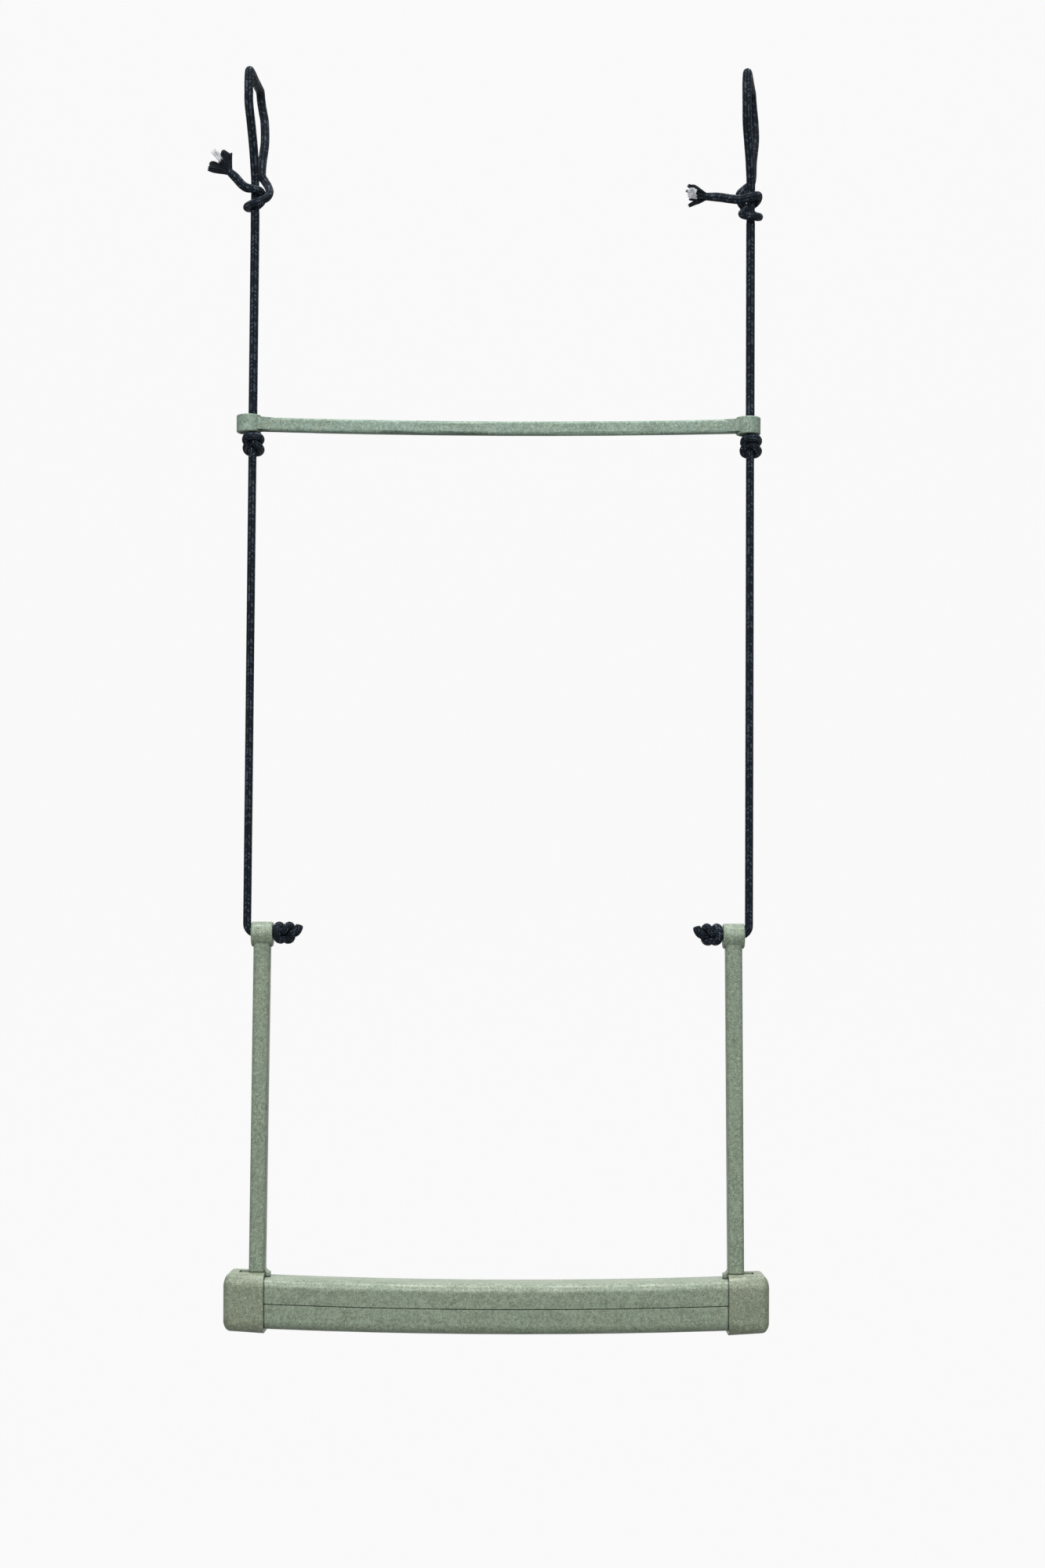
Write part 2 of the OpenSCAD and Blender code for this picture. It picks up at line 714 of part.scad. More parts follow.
// A rope that enters a knot is pinched over two of its rings
function top_radius(i, side) =
    let (first = hitch_first(side),
         last = hitch_last(side),
         in_hitch = min(i - first, last - i, 2) / 2,
         in_standing = min(i, 2 * loop_steps + 1 - i, 1))
        i >= last ? rope_r * lookup((i - last) / loop_steps, tail_radius_table)
        : i >= first ? rope_r - (rope_r - pinched_r) * in_hitch
        : in_standing > 0 ? pinched_r : rope_r;
tail_radius_table = [for (k = [0 : len(tail_radius_shares) - 1]) [k + 1, tail_radius_shares[k]]];

// One stretch of the top of a rope, cut from the whole so that its ends meet its neighbours' flat
module top_stretch(side, first, last) {
    route = top_route(side);
    directions = tangents(route);
    translate([rope_top_x(side), 0, 0])
        rope([for (i = [first : last]) route[i]],
             [for (i = [first : last]) top_radius(i, side)],
             [for (i = [first : last]) directions[i]]);
}

module rope_loop(side) {
    color(cord_black) top_stretch(side, 0, hitch_first(side));
}

module hitch_knot(side) {
    color(cord_black) top_stretch(side, hitch_first(side), hitch_last(side));
}

module rope_tail(side) {
    color(cord_black) top_stretch(side, hitch_last(side), len(top_route(side)) - 1);
}

module rope_neck(side) {
    top = [rope_top_x(side), 0, flex_z];
    color(cord_black)
        straight_rope(top, top - [0, 0, neck_len - rope_r - rope_gap], dome_from = true);
}

module rope_upper(side) {
    color(cord_black)
        straight_rope(rope_at(side, sway_z), rope_at(side, stop_knot_z + knot_reach), dome_from = true);
}

module stop_knot(side) {
    color(cord_black)
        translate(rope_at(side, stop_knot_z)) rope(knot_route, knot_radii);
}

module rope_lower(side) {
    color(cord_black)
        straight_rope(rope_at(side, stop_knot_z - knot_reach), rope_at(side, end_flex_z), dome_to = true);
}

bend_corner_r = 1;
bend_r = rope_r + rope_gap + bend_corner_r;
bend_steps = 6;

// The rope end: down outside the eye, round its corner and through its bore, inward
module rope_end(side) {
    end_x = end_knot_x + knot_reach;
    down = [[rope_foot_x, 0, end_flex_z - rope_r - rope_gap]];
    bend = [
        for (i = [0 : bend_steps])
            let (a = 90 * i / bend_steps)
                [rope_foot_x - bend_r + bend_r * cos(a), 0, stub_z + bend_r - bend_r * sin(a)]
    ];
    route = concat(down, bend, [[end_x, 0, stub_z]]);
    color(cord_black)
        mirror([side < 0 ? 1 : 0, 0, 0])
            rope(route, [for (p = route) rope_r]);
}

module end_knot(side) {
    tail = smooth_route(concat([[knot_reach, 0, 0]], end_tail),
                        even_steps(concat([0], end_tail), loop_steps));
    turned_route = [for (p = knot_route) [-p[2], p[1], p[0]]];
    route = concat(turned_route, [for (i = [1 : len(tail) - 1]) tail[i]]);
    radii = concat(knot_radii, [for (i = [1 : len(tail) - 1]) rope_r]);
    color(cord_black)
        mirror([side > 0 ? 1 : 0, 0, 0])
            translate([-end_knot_x, 0, stub_z]) rope(route, radii);
}

perch_upper_shell();
perch_lower_shell();
end_cap(-1);  // end_cap_left
end_cap(1);  // end_cap_right
arm(-1);  // arm_left
arm(1);  // arm_right
spreader_bar();
rope_loop(-1);  // rope_loop_left
rope_loop(1);  // rope_loop_right
hitch_knot(-1);  // hitch_knot_left
hitch_knot(1);  // hitch_knot_right
rope_tail(-1);  // rope_tail_left
rope_tail(1);  // rope_tail_right
rope_neck(-1);  // rope_neck_left
rope_neck(1);  // rope_neck_right
rope_upper(-1);  // rope_upper_left
rope_upper(1);  // rope_upper_right
stop_knot(-1);  // stop_knot_left
stop_knot(1);  // stop_knot_right
rope_lower(-1);  // rope_lower_left
rope_lower(1);  // rope_lower_right
rope_end(-1);  // rope_end_left
rope_end(1);  // rope_end_right
end_knot(-1);  // end_knot_left
end_knot(1);  // end_knot_right
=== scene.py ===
"""Looks of the hanging bird swing: speckled sage plastic on black braided rope.

Lengths are in metres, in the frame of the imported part: X runs along the perch, the
viewer stands at the side of negative Y, and the two top loops rest at Z = 0.
"""

import logging
import math
from collections.abc import Sequence
from dataclasses import dataclass, field
from enum import Enum
from typing import ClassVar

import bpy
from mathutils import Matrix, Vector


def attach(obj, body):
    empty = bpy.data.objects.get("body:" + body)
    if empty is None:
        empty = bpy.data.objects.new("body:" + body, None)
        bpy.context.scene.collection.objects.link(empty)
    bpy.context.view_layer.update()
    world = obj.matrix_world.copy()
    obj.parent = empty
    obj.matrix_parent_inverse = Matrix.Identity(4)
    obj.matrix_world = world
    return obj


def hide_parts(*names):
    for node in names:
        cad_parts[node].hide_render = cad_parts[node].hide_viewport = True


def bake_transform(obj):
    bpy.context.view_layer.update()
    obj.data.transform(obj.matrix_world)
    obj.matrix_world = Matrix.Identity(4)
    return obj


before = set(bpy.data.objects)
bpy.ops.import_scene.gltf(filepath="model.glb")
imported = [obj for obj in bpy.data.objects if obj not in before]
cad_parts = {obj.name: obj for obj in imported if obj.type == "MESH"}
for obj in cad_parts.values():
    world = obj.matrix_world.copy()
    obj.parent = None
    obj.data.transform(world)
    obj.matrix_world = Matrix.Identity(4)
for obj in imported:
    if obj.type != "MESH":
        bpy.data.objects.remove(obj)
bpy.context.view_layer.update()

LOG = logging.getLogger("bird_swing")
MM = 0.001
GOLDEN_ANGLE = math.radians(137.508)

Colour = tuple[float, float, float]
Point = tuple[float, float, float]
Feed = bpy.types.NodeSocket | float | tuple[float, ...]


class Side(Enum):
    """The two sides of the swing, as the viewer sees them."""

    LEFT = -1
    RIGHT = 1

    @property
    def word(self) -> str:
        """The side's word in the names of nodes and bodies."""
        return self.name.lower()


class Streak(Enum):
    """The way in which the plastic flowed into its mould, as a stretch of the mottling."""

    ALONG_X = (0.22, 1.0, 1.0)
    ALONG_Z = (1.0, 1.0, 0.22)


class Bench:
    """Adds nodes to one tree and joins them, a line of code each."""

    def __init__(self, tree: bpy.types.NodeTree) -> None:
        """Starts on the node tree of a material, a world or a group, and empties it."""
        self.tree = tree
        tree.nodes.clear()

    def feed(self, socket: bpy.types.NodeSocket, value: Feed) -> None:
        """Joins a socket to another, or sets its own value.

        Args:
            socket: The input that is fed.
            value: An output socket, a number or a colour.
        """
        if isinstance(value, bpy.types.NodeSocket):
            self.tree.links.new(value, socket)
        elif isinstance(value, tuple) and socket.type == "RGBA":
            socket.default_value = (*value[:3], 1.0)
        else:
            socket.default_value = value

    def add(
        self, kind: str, inputs: dict[str | int, Feed] | None = None, **settings: object
    ) -> bpy.types.Node:
        """Adds a node.

        Args:
            kind: The node's type without its ShaderNode prefix.
            inputs: What each named or numbered input gets.
            **settings: The node's own properties.

        Returns:
            The new node.
        """
        node = self.tree.nodes.new(f"ShaderNode{kind}")
        for name, value in settings.items():
            setattr(node, name, value)
        for name, value in (inputs or {}).items():
            self.feed(node.inputs[name], value)
        return node

    def math(
        self, operation: str, a: Feed, b: Feed = 0.0, c: Feed = 0.0, clamp: bool = False
    ) -> bpy.types.NodeSocket:
        """Adds one step of arithmetic and returns the socket of its result."""
        return self.add("Math", {0: a, 1: b, 2: c}, operation=operation, use_clamp=clamp).outputs[0]

    def span(
        self, value: Feed, low: float, high: float, to_low: float = 0.0, to_high: float = 1.0
    ) -> bpy.types.NodeSocket:
        """Maps the range from low to high smoothly onto the one from to_low to to_high."""
        inputs = {0: value, 1: low, 2: high, 3: to_low, 4: to_high}
        return self.add("MapRange", inputs, interpolation_type="SMOOTHSTEP").outputs[0]

    def mix(self, share: Feed, a: Feed, b: Feed, blend: str = "MIX") -> bpy.types.NodeSocket:
        """Mixes two colours by the share of the second one, and returns the socket of the result."""
        return self.add("Mix", {0: share, 6: a, 7: b}, data_type="RGBA", blend_type=blend).outputs[2]

    def grey(self, value: Feed) -> bpy.types.NodeSocket:
        """Turns a value into a grey colour."""
        return self.add("CombineColor", {0: value, 1: value, 2: value}).outputs[0]

    def noise(
        self, vector: Feed, scale: float, detail: float = 2.0, roughness: float = 0.5
    ) -> bpy.types.NodeSocket:
        """Adds a noise whose scale is in waves to the metre, and returns the socket of its value."""
        inputs = {"Vector": vector, "Scale": scale, "Detail": detail, "Roughness": roughness}
        return self.add("TexNoise", inputs).outputs[0]


def new_group(
    name: str, inputs: dict[str, str], outputs: dict[str, str]
) -> tuple[Bench, bpy.types.Node, bpy.types.Node]:
    """Starts a shader node group.

    Args:
        name: The group's name.
        inputs: The kind of each named input, without its NodeSocket prefix.
        outputs: The kind of each named output.

    Returns:
        The bench on the group's tree, its input node and its output node.
    """
    tree = bpy.data.node_groups.new(name, "ShaderNodeTree")
    for in_out, sockets in (("INPUT", inputs), ("OUTPUT", outputs)):
        for socket, kind in sockets.items():
            tree.interface.new_socket(socket, in_out=in_out, socket_type=f"NodeSocket{kind}")
    bench = Bench(tree)
    return bench, tree.nodes.new("NodeGroupInput"), tree.nodes.new("NodeGroupOutput")


def speckle_group() -> bpy.types.NodeTree:
    """Builds the speckles and flow marks of moulded, filled plastic.

    Returns:
        The group, which puts out Colour, Grain and Gloss.
    """
    bench, given, out = new_group(
        "moulded_speckle",
        {
            "Vector": "Vector", "Stretch": "Vector",
            "Base": "Color", "Warm": "Color", "Light": "Color", "Dark": "Color",
        },
        {"Colour": "Color", "Grain": "Float", "Gloss": "Float"},
    )
    streak_share, cloud_share, light_share, dark_share = 0.30, 0.16, 0.58, 0.74
    mottle_depth, grain_depth = 0.18, 0.16
    where = given.outputs["Vector"]
    flow = bench.add("VectorMath", {0: where, 1: given.outputs["Stretch"]}, operation="MULTIPLY").outputs[0]
    streaks = bench.noise(flow, 190.0, 4.0, 0.62)
    clouds = bench.noise(where, 38.0, 3.0)
    fine = bench.noise(where, 2300.0, 2.0, 0.7)
    light_specks = bench.span(bench.noise(where, 1150.0, 2.0, 0.7), 0.53, 0.65)
    dark_specks = bench.span(bench.noise(where, 980.0, 3.0, 0.7), 0.52, 0.65)
    base, dark = given.outputs["Base"], given.outputs["Dark"]
    worn = bench.mix(bench.span(streaks, 0.42, 0.70, 0.0, streak_share), base, dark)
    worn = bench.mix(bench.span(clouds, 0.42, 0.72, 0.0, cloud_share), worn, given.outputs["Warm"])
    worn = bench.mix(bench.math("MULTIPLY", light_specks, light_share), worn, given.outputs["Light"])
    worn = bench.mix(bench.math("MULTIPLY", dark_specks, dark_share), worn, dark)
    mottle = bench.noise(where, 430.0, 2.0, 0.6)
    mottle = bench.span(mottle, 0.30, 0.70, 1.0 - mottle_depth, 1.0 + mottle_depth)
    grain = bench.span(fine, 0.25, 0.75, 1.0 - grain_depth, 1.0 + grain_depth)
    tone = bench.grey(bench.math("MULTIPLY", grain, mottle))
    bench.feed(out.inputs["Colour"], bench.mix(1.0, worn, tone, "MULTIPLY"))
    bench.feed(out.inputs["Grain"], bench.math("ADD", fine, bench.math("MULTIPLY", streaks, 0.5)))
    bench.feed(out.inputs["Gloss"], bench.span(streaks, 0.35, 0.7))
    return bench.tree


def edge_group() -> bpy.types.NodeTree:
    """Builds the softened edges of moulded pieces, a mask of painted highlight on their sharp edges, and a
    mask of painted shade in their narrow seams.

    Returns:
        The group, which puts out the softened Normal, a Mask of painted edge highlight and a mask of painted
        shade in seams.
    """
    bench, given, out = new_group(
        "rubbed_edge",
        {"Radius": "Float", "Reach": "Float"},
        {"Normal": "Vector", "Mask": "Float", "Seam": "Float"},
    )
    flat_turn, sharp_turn = 0.99, 0.80
    open_air, closed_air = 0.96, 0.58
    soft = bench.add("Bevel", {"Radius": given.outputs["Radius"]}, samples=6).outputs[0]
    true = bench.add("NewGeometry").outputs["Normal"]
    turn = bench.add("VectorMath", {0: soft, 1: true}, operation="DOT_PRODUCT").outputs["Value"]
    bench.feed(out.inputs["Normal"], soft)
    air = bench.add("AmbientOcclusion", {"Distance": given.outputs["Reach"]}, samples=8).outputs["AO"]
    # Painted highlight: this mask lightens sharp edges, and is kept out of occluded places.
    bench.feed(out.inputs["Mask"], bench.math("MULTIPLY", bench.span(turn, flat_turn, sharp_turn), air))
    # Painted shade: this mask darkens narrow seams where ambient occlusion finds them closed in.
    bench.feed(out.inputs["Seam"], bench.span(air, open_air, closed_air))
    return bench.tree


def braid_group() -> bpy.types.NodeTree:
    """Builds a tubular braid from a rope's own lengthwise map.

    Returns:
        The group, which puts out Height, Chance and Fibre.
    """
    bench, given, out = new_group(
        "tubular_braid",
        {"Map": "Vector", "Columns": "Float", "Pitch": "Float", "Lean": "Float"},
        {"Height": "Float", "Chance": "Float", "Fibre": "Float"},
    )
    crown_power, side_power = 2.2, 3.0
    fibres_across, fibres_along = 9.0, 1.3
    split = bench.add("SeparateXYZ", {0: given.outputs["Map"]})
    round_way = bench.math("MULTIPLY", split.outputs[0], given.outputs["Columns"])
    column = bench.math("FLOOR", round_way)
    across = bench.math("SUBTRACT", bench.math("SUBTRACT", round_way, column), 0.5)
    odd_column = bench.math("PINGPONG", bench.math("ADD", column, 1.0), 1.0)
    turn = bench.math("MULTIPLY_ADD", odd_column, 2.0, -1.0)
    slant = bench.math("MULTIPLY", bench.math("MULTIPLY", across, turn), given.outputs["Lean"])
    along = bench.math("ADD", bench.math("DIVIDE", split.outputs[1], given.outputs["Pitch"]), slant)
    row = bench.math("FLOOR", along)
    in_row = bench.math("SUBTRACT", bench.math("SUBTRACT", along, row), 0.5)
    crown, width = (
        bench.math("SUBTRACT", 1.0, bench.math("POWER", bench.math("MULTIPLY", away, 2.0), power))
        for away, power in (
            (bench.math("ABSOLUTE", in_row), crown_power),
            (bench.math("ABSOLUTE", across), side_power),
        )
    )
    bench.feed(out.inputs["Height"], bench.math("SQRT", bench.math("MULTIPLY", crown, width), clamp=True))
    cell = bench.add("CombineXYZ", {0: column, 1: row}).outputs[0]
    bench.feed(out.inputs["Chance"], bench.add("TexWhiteNoise", {"Vector": cell}).outputs[0])
    fibre_way = bench.math("MULTIPLY", across, fibres_across)
    fibre_run = bench.math("MULTIPLY", along, fibres_along)
    yarn = bench.add("CombineXYZ", {0: fibre_way, 1: fibre_run, 2: column}).outputs[0]
    bench.feed(out.inputs["Fibre"], bench.noise(yarn, 2.4, 3.0, 0.6))
    return bench.tree


@dataclass
class Groups:
    """The node groups of the finishes, each built once."""

    speckle: bpy.types.NodeTree = field(default_factory=speckle_group)
    edge: bpy.types.NodeTree = field(default_factory=edge_group)
    braid: bpy.types.NodeTree = field(default_factory=braid_group)


def new_material(name: str) -> tuple[bpy.types.Material, Bench]:
    """Starts a node material.

    Args:
        name: The material's name.

    Returns:
        The material and the bench on its tree.
    """
    material = bpy.data.materials.new(name)
    material.use_nodes = True
    return material, Bench(material.node_tree)


def cover(bench: Bench, relief: dict[str, Feed], inputs: dict[str, Feed]) -> None:
    """Adds a surface's relief and its shader, and joins them to the material's output.

    Args:
        bench: The bench on the material's tree.
        relief: What each input of the relief gets.
        inputs: What each of the shader's other inputs gets.
    """
    bump = bench.add("Bump", relief).outputs[0]
    shader = bench.add("BsdfPrincipled", {**inputs, "Normal": bump}).outputs[0]
    bench.add("OutputMaterial", {"Surface": shader})


@dataclass(frozen=True)
class SpeckledPlastic:
    """Moulded sage plastic with light and dark specks and a satin skin."""

    name: str
    streak: Streak
    base: Colour = (0.272, 0.340, 0.256)
    warm: Colour = (0.330, 0.340, 0.225)
    light: Colour = (0.56, 0.62, 0.46)
    dark: Colour = (0.085, 0.115, 0.075)
    # The colour of the painted shade in narrow seams.
    shade: Colour = (0.012, 0.018, 0.012)
    roughness: tuple[float, float] = (0.36, 0.52)
    edge_radius: float = 0.35 * MM
    # How far the painted seam shade looks for nearby surfaces.
    seam_shade_reach: float = 1.8 * MM
    # The strength of the painted highlight on sharp edges.
    edge_highlight_share: float = 0.30
    # The strength of the painted shade in seams.
    seam_shade_share: float = 0.94
    relief: float = 0.22
    relief_depth: float = 0.25 * MM
    specular: float = 0.34

    def build(self, groups: Groups) -> bpy.types.Material:
        """Builds the material.

        Args:
            groups: The shared node groups.

        Returns:
            The material.
        """
        material, bench = new_material(self.name)
        where = bench.add("TexCoord").outputs["Object"]
        speckle = bench.add(
            "Group",
            {
                "Vector": where, "Stretch": self.streak.value,
                "Base": self.base, "Warm": self.warm, "Light": self.light, "Dark": self.dark,
            },
            node_tree=groups.speckle,
        )
        edge = bench.add(
            "Group", {"Radius": self.edge_radius, "Reach": self.seam_shade_reach}, node_tree=groups.edge
        )
        # Painted highlight: sharp edges are mixed towards the light speck colour.
        edge_highlight = bench.math("MULTIPLY", edge.outputs["Mask"], self.edge_highlight_share)
        # Painted shade: narrow seams are mixed towards the shade colour.
        seam_shade = bench.math("MULTIPLY", edge.outputs["Seam"], self.seam_shade_share)
        edge_highlighted = bench.mix(edge_highlight, speckle.outputs["Colour"], self.light)
        smooth, rough = self.roughness
        cover(
            bench,
            {
                "Strength": self.relief, "Distance": self.relief_depth,
                "Height": speckle.outputs["Grain"], "Normal": edge.outputs["Normal"],
            },
            {
                "Base Color": bench.mix(seam_shade, edge_highlighted, self.shade),
                "Roughness": bench.math("MULTIPLY_ADD", speckle.outputs["Gloss"], rough - smooth, smooth),
                "Specular IOR Level": self.specular,
            },
        )
        return material


@dataclass(frozen=True)
class BraidedCord:
    """Black braided polyester rope, with a painted cool sheen on its crossing strands and painted shade
    between them.
    """

    name: str = "black_braid"
    valley: Colour = (0.001, 0.002, 0.003)
    strand: Colour = (0.006, 0.011, 0.019)
    fleck: Colour = (0.150, 0.184, 0.232)
    columns: float = 8.0
    pitch: float = 1.45 * MM
    lean: float = 1.1
    roughness: tuple[float, float] = (0.62, 0.34)
    relief: float = 0.85
    relief_depth: float = 0.45 * MM
    fibre_relief: float = 0.16
    specular: float = 0.08

    def build(self, groups: Groups) -> bpy.types.Material:
        """Builds the material.

        Args:
            groups: The shared node groups.

        Returns:
            The material.
        """
        material, bench = new_material(self.name)
        where = bench.add("UVMap", uv_map=RopeSkin.MAP_NAME).outputs[0]
        plait = {"Map": where, "Columns": self.columns, "Pitch": self.pitch, "Lean": self.lean}
        braid = bench.add("Group", plait, node_tree=groups.braid)
        height = braid.outputs["Height"]
        # Painted shade: the valleys between strands are coloured darker than their crowns.
        yarn = bench.mix(bench.span(height, 0.25, 0.85), self.valley, self.strand)
        # Painted sheen: the crowns of some strands, picked at random, are coloured a lighter cool tone.
        lively = bench.span(braid.outputs["Chance"], 0.40, 1.0, 0.10, 1.0)
        bright = bench.math("MULTIPLY", bench.span(height, 0.66, 0.95), lively)
        shine = bench.math("MULTIPLY", bright, bench.span(braid.outputs["Fibre"], 0.36, 0.62, 0.30, 1.0))
        colour = bench.mix(shine, yarn, self.fleck)
        relief = bench.math("MULTIPLY_ADD", braid.outputs["Fibre"], self.fibre_relief, height)
        cover(
            bench,
            {"Strength": self.relief, "Distance": self.relief_depth, "Height": relief},
            {
                "Base Color": colour,
                "Roughness": bench.span(shine, 0.0, 0.8, *self.roughness),
                "Specular IOR Level": self.specular,
            },
        )
        return material


@dataclass(frozen=True)
class LooseFibre:
    """Loose yarn at a cut end, which varies from strand to strand."""

    name: str
    dark: Colour
    light: Colour
    roughness: float = 0.55
    sheen: float = 0.03
    relief: float = 0.6
    relief_depth: float = 0.2 * MM
    specular: float = 0.08

    def build(self) -> bpy.types.Material:
        """Builds the material.

        Returns:
            The material.
        """
        material, bench = new_material(self.name)
        where = bench.add("TexCoord").outputs["Object"]
        grain = bench.noise(where, 900.0, 4.0, 0.7)
        patch = bench.noise(where, 260.0, 1.0)
        colour = bench.mix(bench.span(bench.math("ADD", grain, patch), 0.75, 1.25), self.dark, self.light)
        cover(
            bench,
            {"Strength": self.relief, "Distance": self.relief_depth, "Height": grain},
            {
                "Base Color": colour,
                "Roughness": self.roughness,
                "Specular IOR Level": self.specular,
                "Sheen Weight": self.sheen,
            },
        )
        return material


def shows_background(bench: Bench) -> bpy.types.NodeSocket:
    """Marks the rays that see the white background: the camera's, glossy and transmitted ones.

    Args:
        bench: The bench on the tree of a material or a world.

    Returns:
        The socket, which is 1 for those rays and 0 for the others.
    """
    path = bench.add("LightPath")
    seen = bench.math("MAXIMUM", path.outputs["Is Camera Ray"], path.outputs["Is Glossy Ray"])
    return bench.math("MAXIMUM", seen, path.outputs["Is Transmission Ray"])


@dataclass(frozen=True)
class PaleStudio:
    """Matte pale sheet behind and under the swing, near white where the camera looks."""

    name: str = "pale_studio"
    colour: Colour = (0.15, 0.15, 0.15)
    lift: float = 0.945

    def build(self) -> bpy.types.Material:
        """Builds the material.

        Returns:
            The material.
        """
        material, bench = new_material(self.name)
        grain = bench.noise(bench.add("TexCoord").outputs["Object"], 30.0, 2.0)
        tone = bench.span(grain, 0.3, 0.7, 0.97, 1.0)
        shade = bench.mix(1.0, self.colour, bench.grey(tone), "MULTIPLY")
        matte = bench.add("BsdfDiffuse", {"Color": shade})
        glow = bench.add("Emission", {"Color": (1.0, 1.0, 1.0), "Strength": 1.0})
        seen = shows_background(bench)
        shown = bench.math("MULTIPLY", seen, self.lift)
        sheet = bench.add("MixShader", {0: shown, 1: matte.outputs[0], 2: glow.outputs[0]})
        back = bench.add("NewGeometry").outputs["Backfacing"]
        clear = bench.add("BsdfTransparent")
        both = bench.add("MixShader", {0: back, 1: sheet.outputs[0], 2: clear.outputs[0]})
        bench.add("OutputMaterial", {"Surface": both.outputs[0]})
        return material


def add_object(name: str, data: bpy.types.ID) -> bpy.types.Object:
    """Adds an object to the scene.

    Args:
        name: The object's name.
        data: Its mesh, camera or lamp.

    Returns:
        The new object, in the row frame and without a parent.
    """
    made = bpy.data.objects.new(name, data)
    bpy.context.scene.collection.objects.link(made)
    return made


def spline_at(a: Vector, b: Vector, c: Vector, d: Vector, t: float) -> Vector:
    """Finds the point at share t of the way from b to c, on a smooth curve through all four points."""
    cubic = 3 * b - a - 3 * c + d
    return 0.5 * (2 * b + (c - a) * t + (2 * a - 5 * b + 4 * c - d) * t**2 + cubic * t**3)


def smooth_route(points: Sequence[Vector], steps: int) -> list[Vector]:
    """Draws a smooth route through given points.

    Args:
        points: The points.
        steps: How many steps there are from each point to the next.

    Returns:
        The points of the smooth route.
    """
    route: list[Vector] = []
    last = len(points) - 1
    for i in range(last):
        before, after = points[max(i - 1, 0)], points[min(i + 2, last)]
        route += [spline_at(before, points[i], points[i + 1], after, s / steps) for s in range(steps)]
    return [*route, points[last].copy()]


def route_length(points: Sequence[Vector]) -> float:
    """Adds up the length of a route, in metres."""
    return sum((b - a).length for a, b in zip(points, points[1:]))


def directions(points: Sequence[Vector]) -> list[Vector]:
    """Finds the direction of a route at each of its points."""
    last = len(points) - 1
    return [(points[min(i + 1, last)] - points[max(i - 1, 0)]).normalized() for i in range(last + 1)]


@dataclass
class RopeSkin:
    """A round skin along a route, with a map that runs round it and along it."""

    MAP_NAME: ClassVar[str] = "braid"

    name: str
    points: list[Vector]
    radii: list[float]
    sides: int = 16
    start_length: float = 0.0

    def rings(self) -> list[list[Vector]]:
        """Places the rings of the skin, which turn as little as they can along the route.

        Returns:
            The corners of each ring.
        """
        ways = directions(self.points)
        normal = ways[0].orthogonal().normalized()
        found: list[list[Vector]] = []
        for point, way, radius in zip(self.points, ways, self.radii):
            normal = (normal - way * normal.dot(way)).normalized()
            other = way.cross(normal)
            turns = (math.tau * s / self.sides for s in range(self.sides))
            found.append([point + radius * (math.cos(a) * normal + math.sin(a) * other) for a in turns])
        return found

    def build(self) -> bpy.types.Object:
        """Builds the skin's mesh, closed at both ends.

        Returns:
            The new object.
        """
        rings = self.rings()
        last = len(rings) - 1
        corners = [corner for ring in rings for corner in ring]
        faces: list[tuple[int, ...]] = []
        maps: list[tuple[float, float]] = []
        along = self.start_length
        for i in range(last):
            step = (self.points[i + 1] - self.points[i]).length
            for s in range(self.sides):
                near, far = i * self.sides + s, i * self.sides + (s + 1) % self.sides
                faces.append((near, far, far + self.sides, near + self.sides))
                u, v = s / self.sides, (s + 1) / self.sides
                maps += [(u, along), (v, along), (v, along + step), (u, along + step)]
            along += step
        for ring, turn in ((0, -1), (last, 1)):
            order = range(self.sides)[::turn]
            faces.append(tuple(ring * self.sides + s for s in order))
            maps += [(s / self.sides, along if ring else self.start_length) for s in order]
        mesh = bpy.data.meshes.new(self.name)
        mesh.from_pydata(corners, [], faces)
        layer = mesh.uv_layers.new(name=self.MAP_NAME)
        layer.data.foreach_set("uv", [value for pair in maps for value in pair])
        mesh.polygons.foreach_set("use_smooth", [True] * len(faces))
        mesh.update()
        return add_object(self.name, mesh)


def joined(name: str, skins: Sequence[RopeSkin]) -> bpy.types.Object:
    """Joins several skins into one piece.

    Args:
        name: The piece's name.
        skins: The skins.

    Returns:
        The joined object.
    """
    parts = [skin.build() for skin in skins]
    chosen = {"selected_editable_objects": parts, "selected_objects": parts}
    with bpy.context.temp_override(active_object=parts[0], **chosen):
        bpy.ops.object.join()
    parts[0].name = name
    parts[0].data.name = name
    return parts[0]


@dataclass(frozen=True)
class Knots:
    """The routes of the knots, in shares of the distance between strands that lie together."""

    pitch: float = 5.6 * MM
    reach_share: float = 1.6
    half_knot: tuple[Point, ...] = (
        (-0.66, 0, 0), (-0.86, -0.36, 0.42), (-0.66, -0.94, 0.8), (0.05, -1.15, 0.92),
        (0.82, -0.84, 0.88), (1.08, -0.02, 0.64), (0.8, 0.56, 0.32), (0.32, 0.52, -0.1),
        (0.08, 0.22, -0.64), (0, 0.02, -1.15), (0, 0, -1.6),
    )

    @property
    def reach(self) -> float:
        """Half the length of an overhand knot along its rope."""
        return self.reach_share * self.pitch

    def overhand(self) -> list[Vector]:
        """Places the points of an overhand knot about its own middle, from above to below."""
        below = [Vector(p) * self.pitch for p in self.half_knot]
        return [Vector((p.x, -p.y, -p.z)) for p in reversed(below[1:])] + below


@dataclass(frozen=True)
class Tuft:
    """One dark tuft of a cut end, in millimetres beside the rope's own line."""

    tip: Point
    belly: float
    end: float
    yarns: int = 8
    belly_at: float = 0.60


@dataclass(frozen=True)
class Brush:
    """The pale core of a cut end, in millimetres, whose fibres end in an oval."""

    tip: Point
    half_w: float
    half_h: float
    fibres: int
    thick: float
    belly: float = 0.8


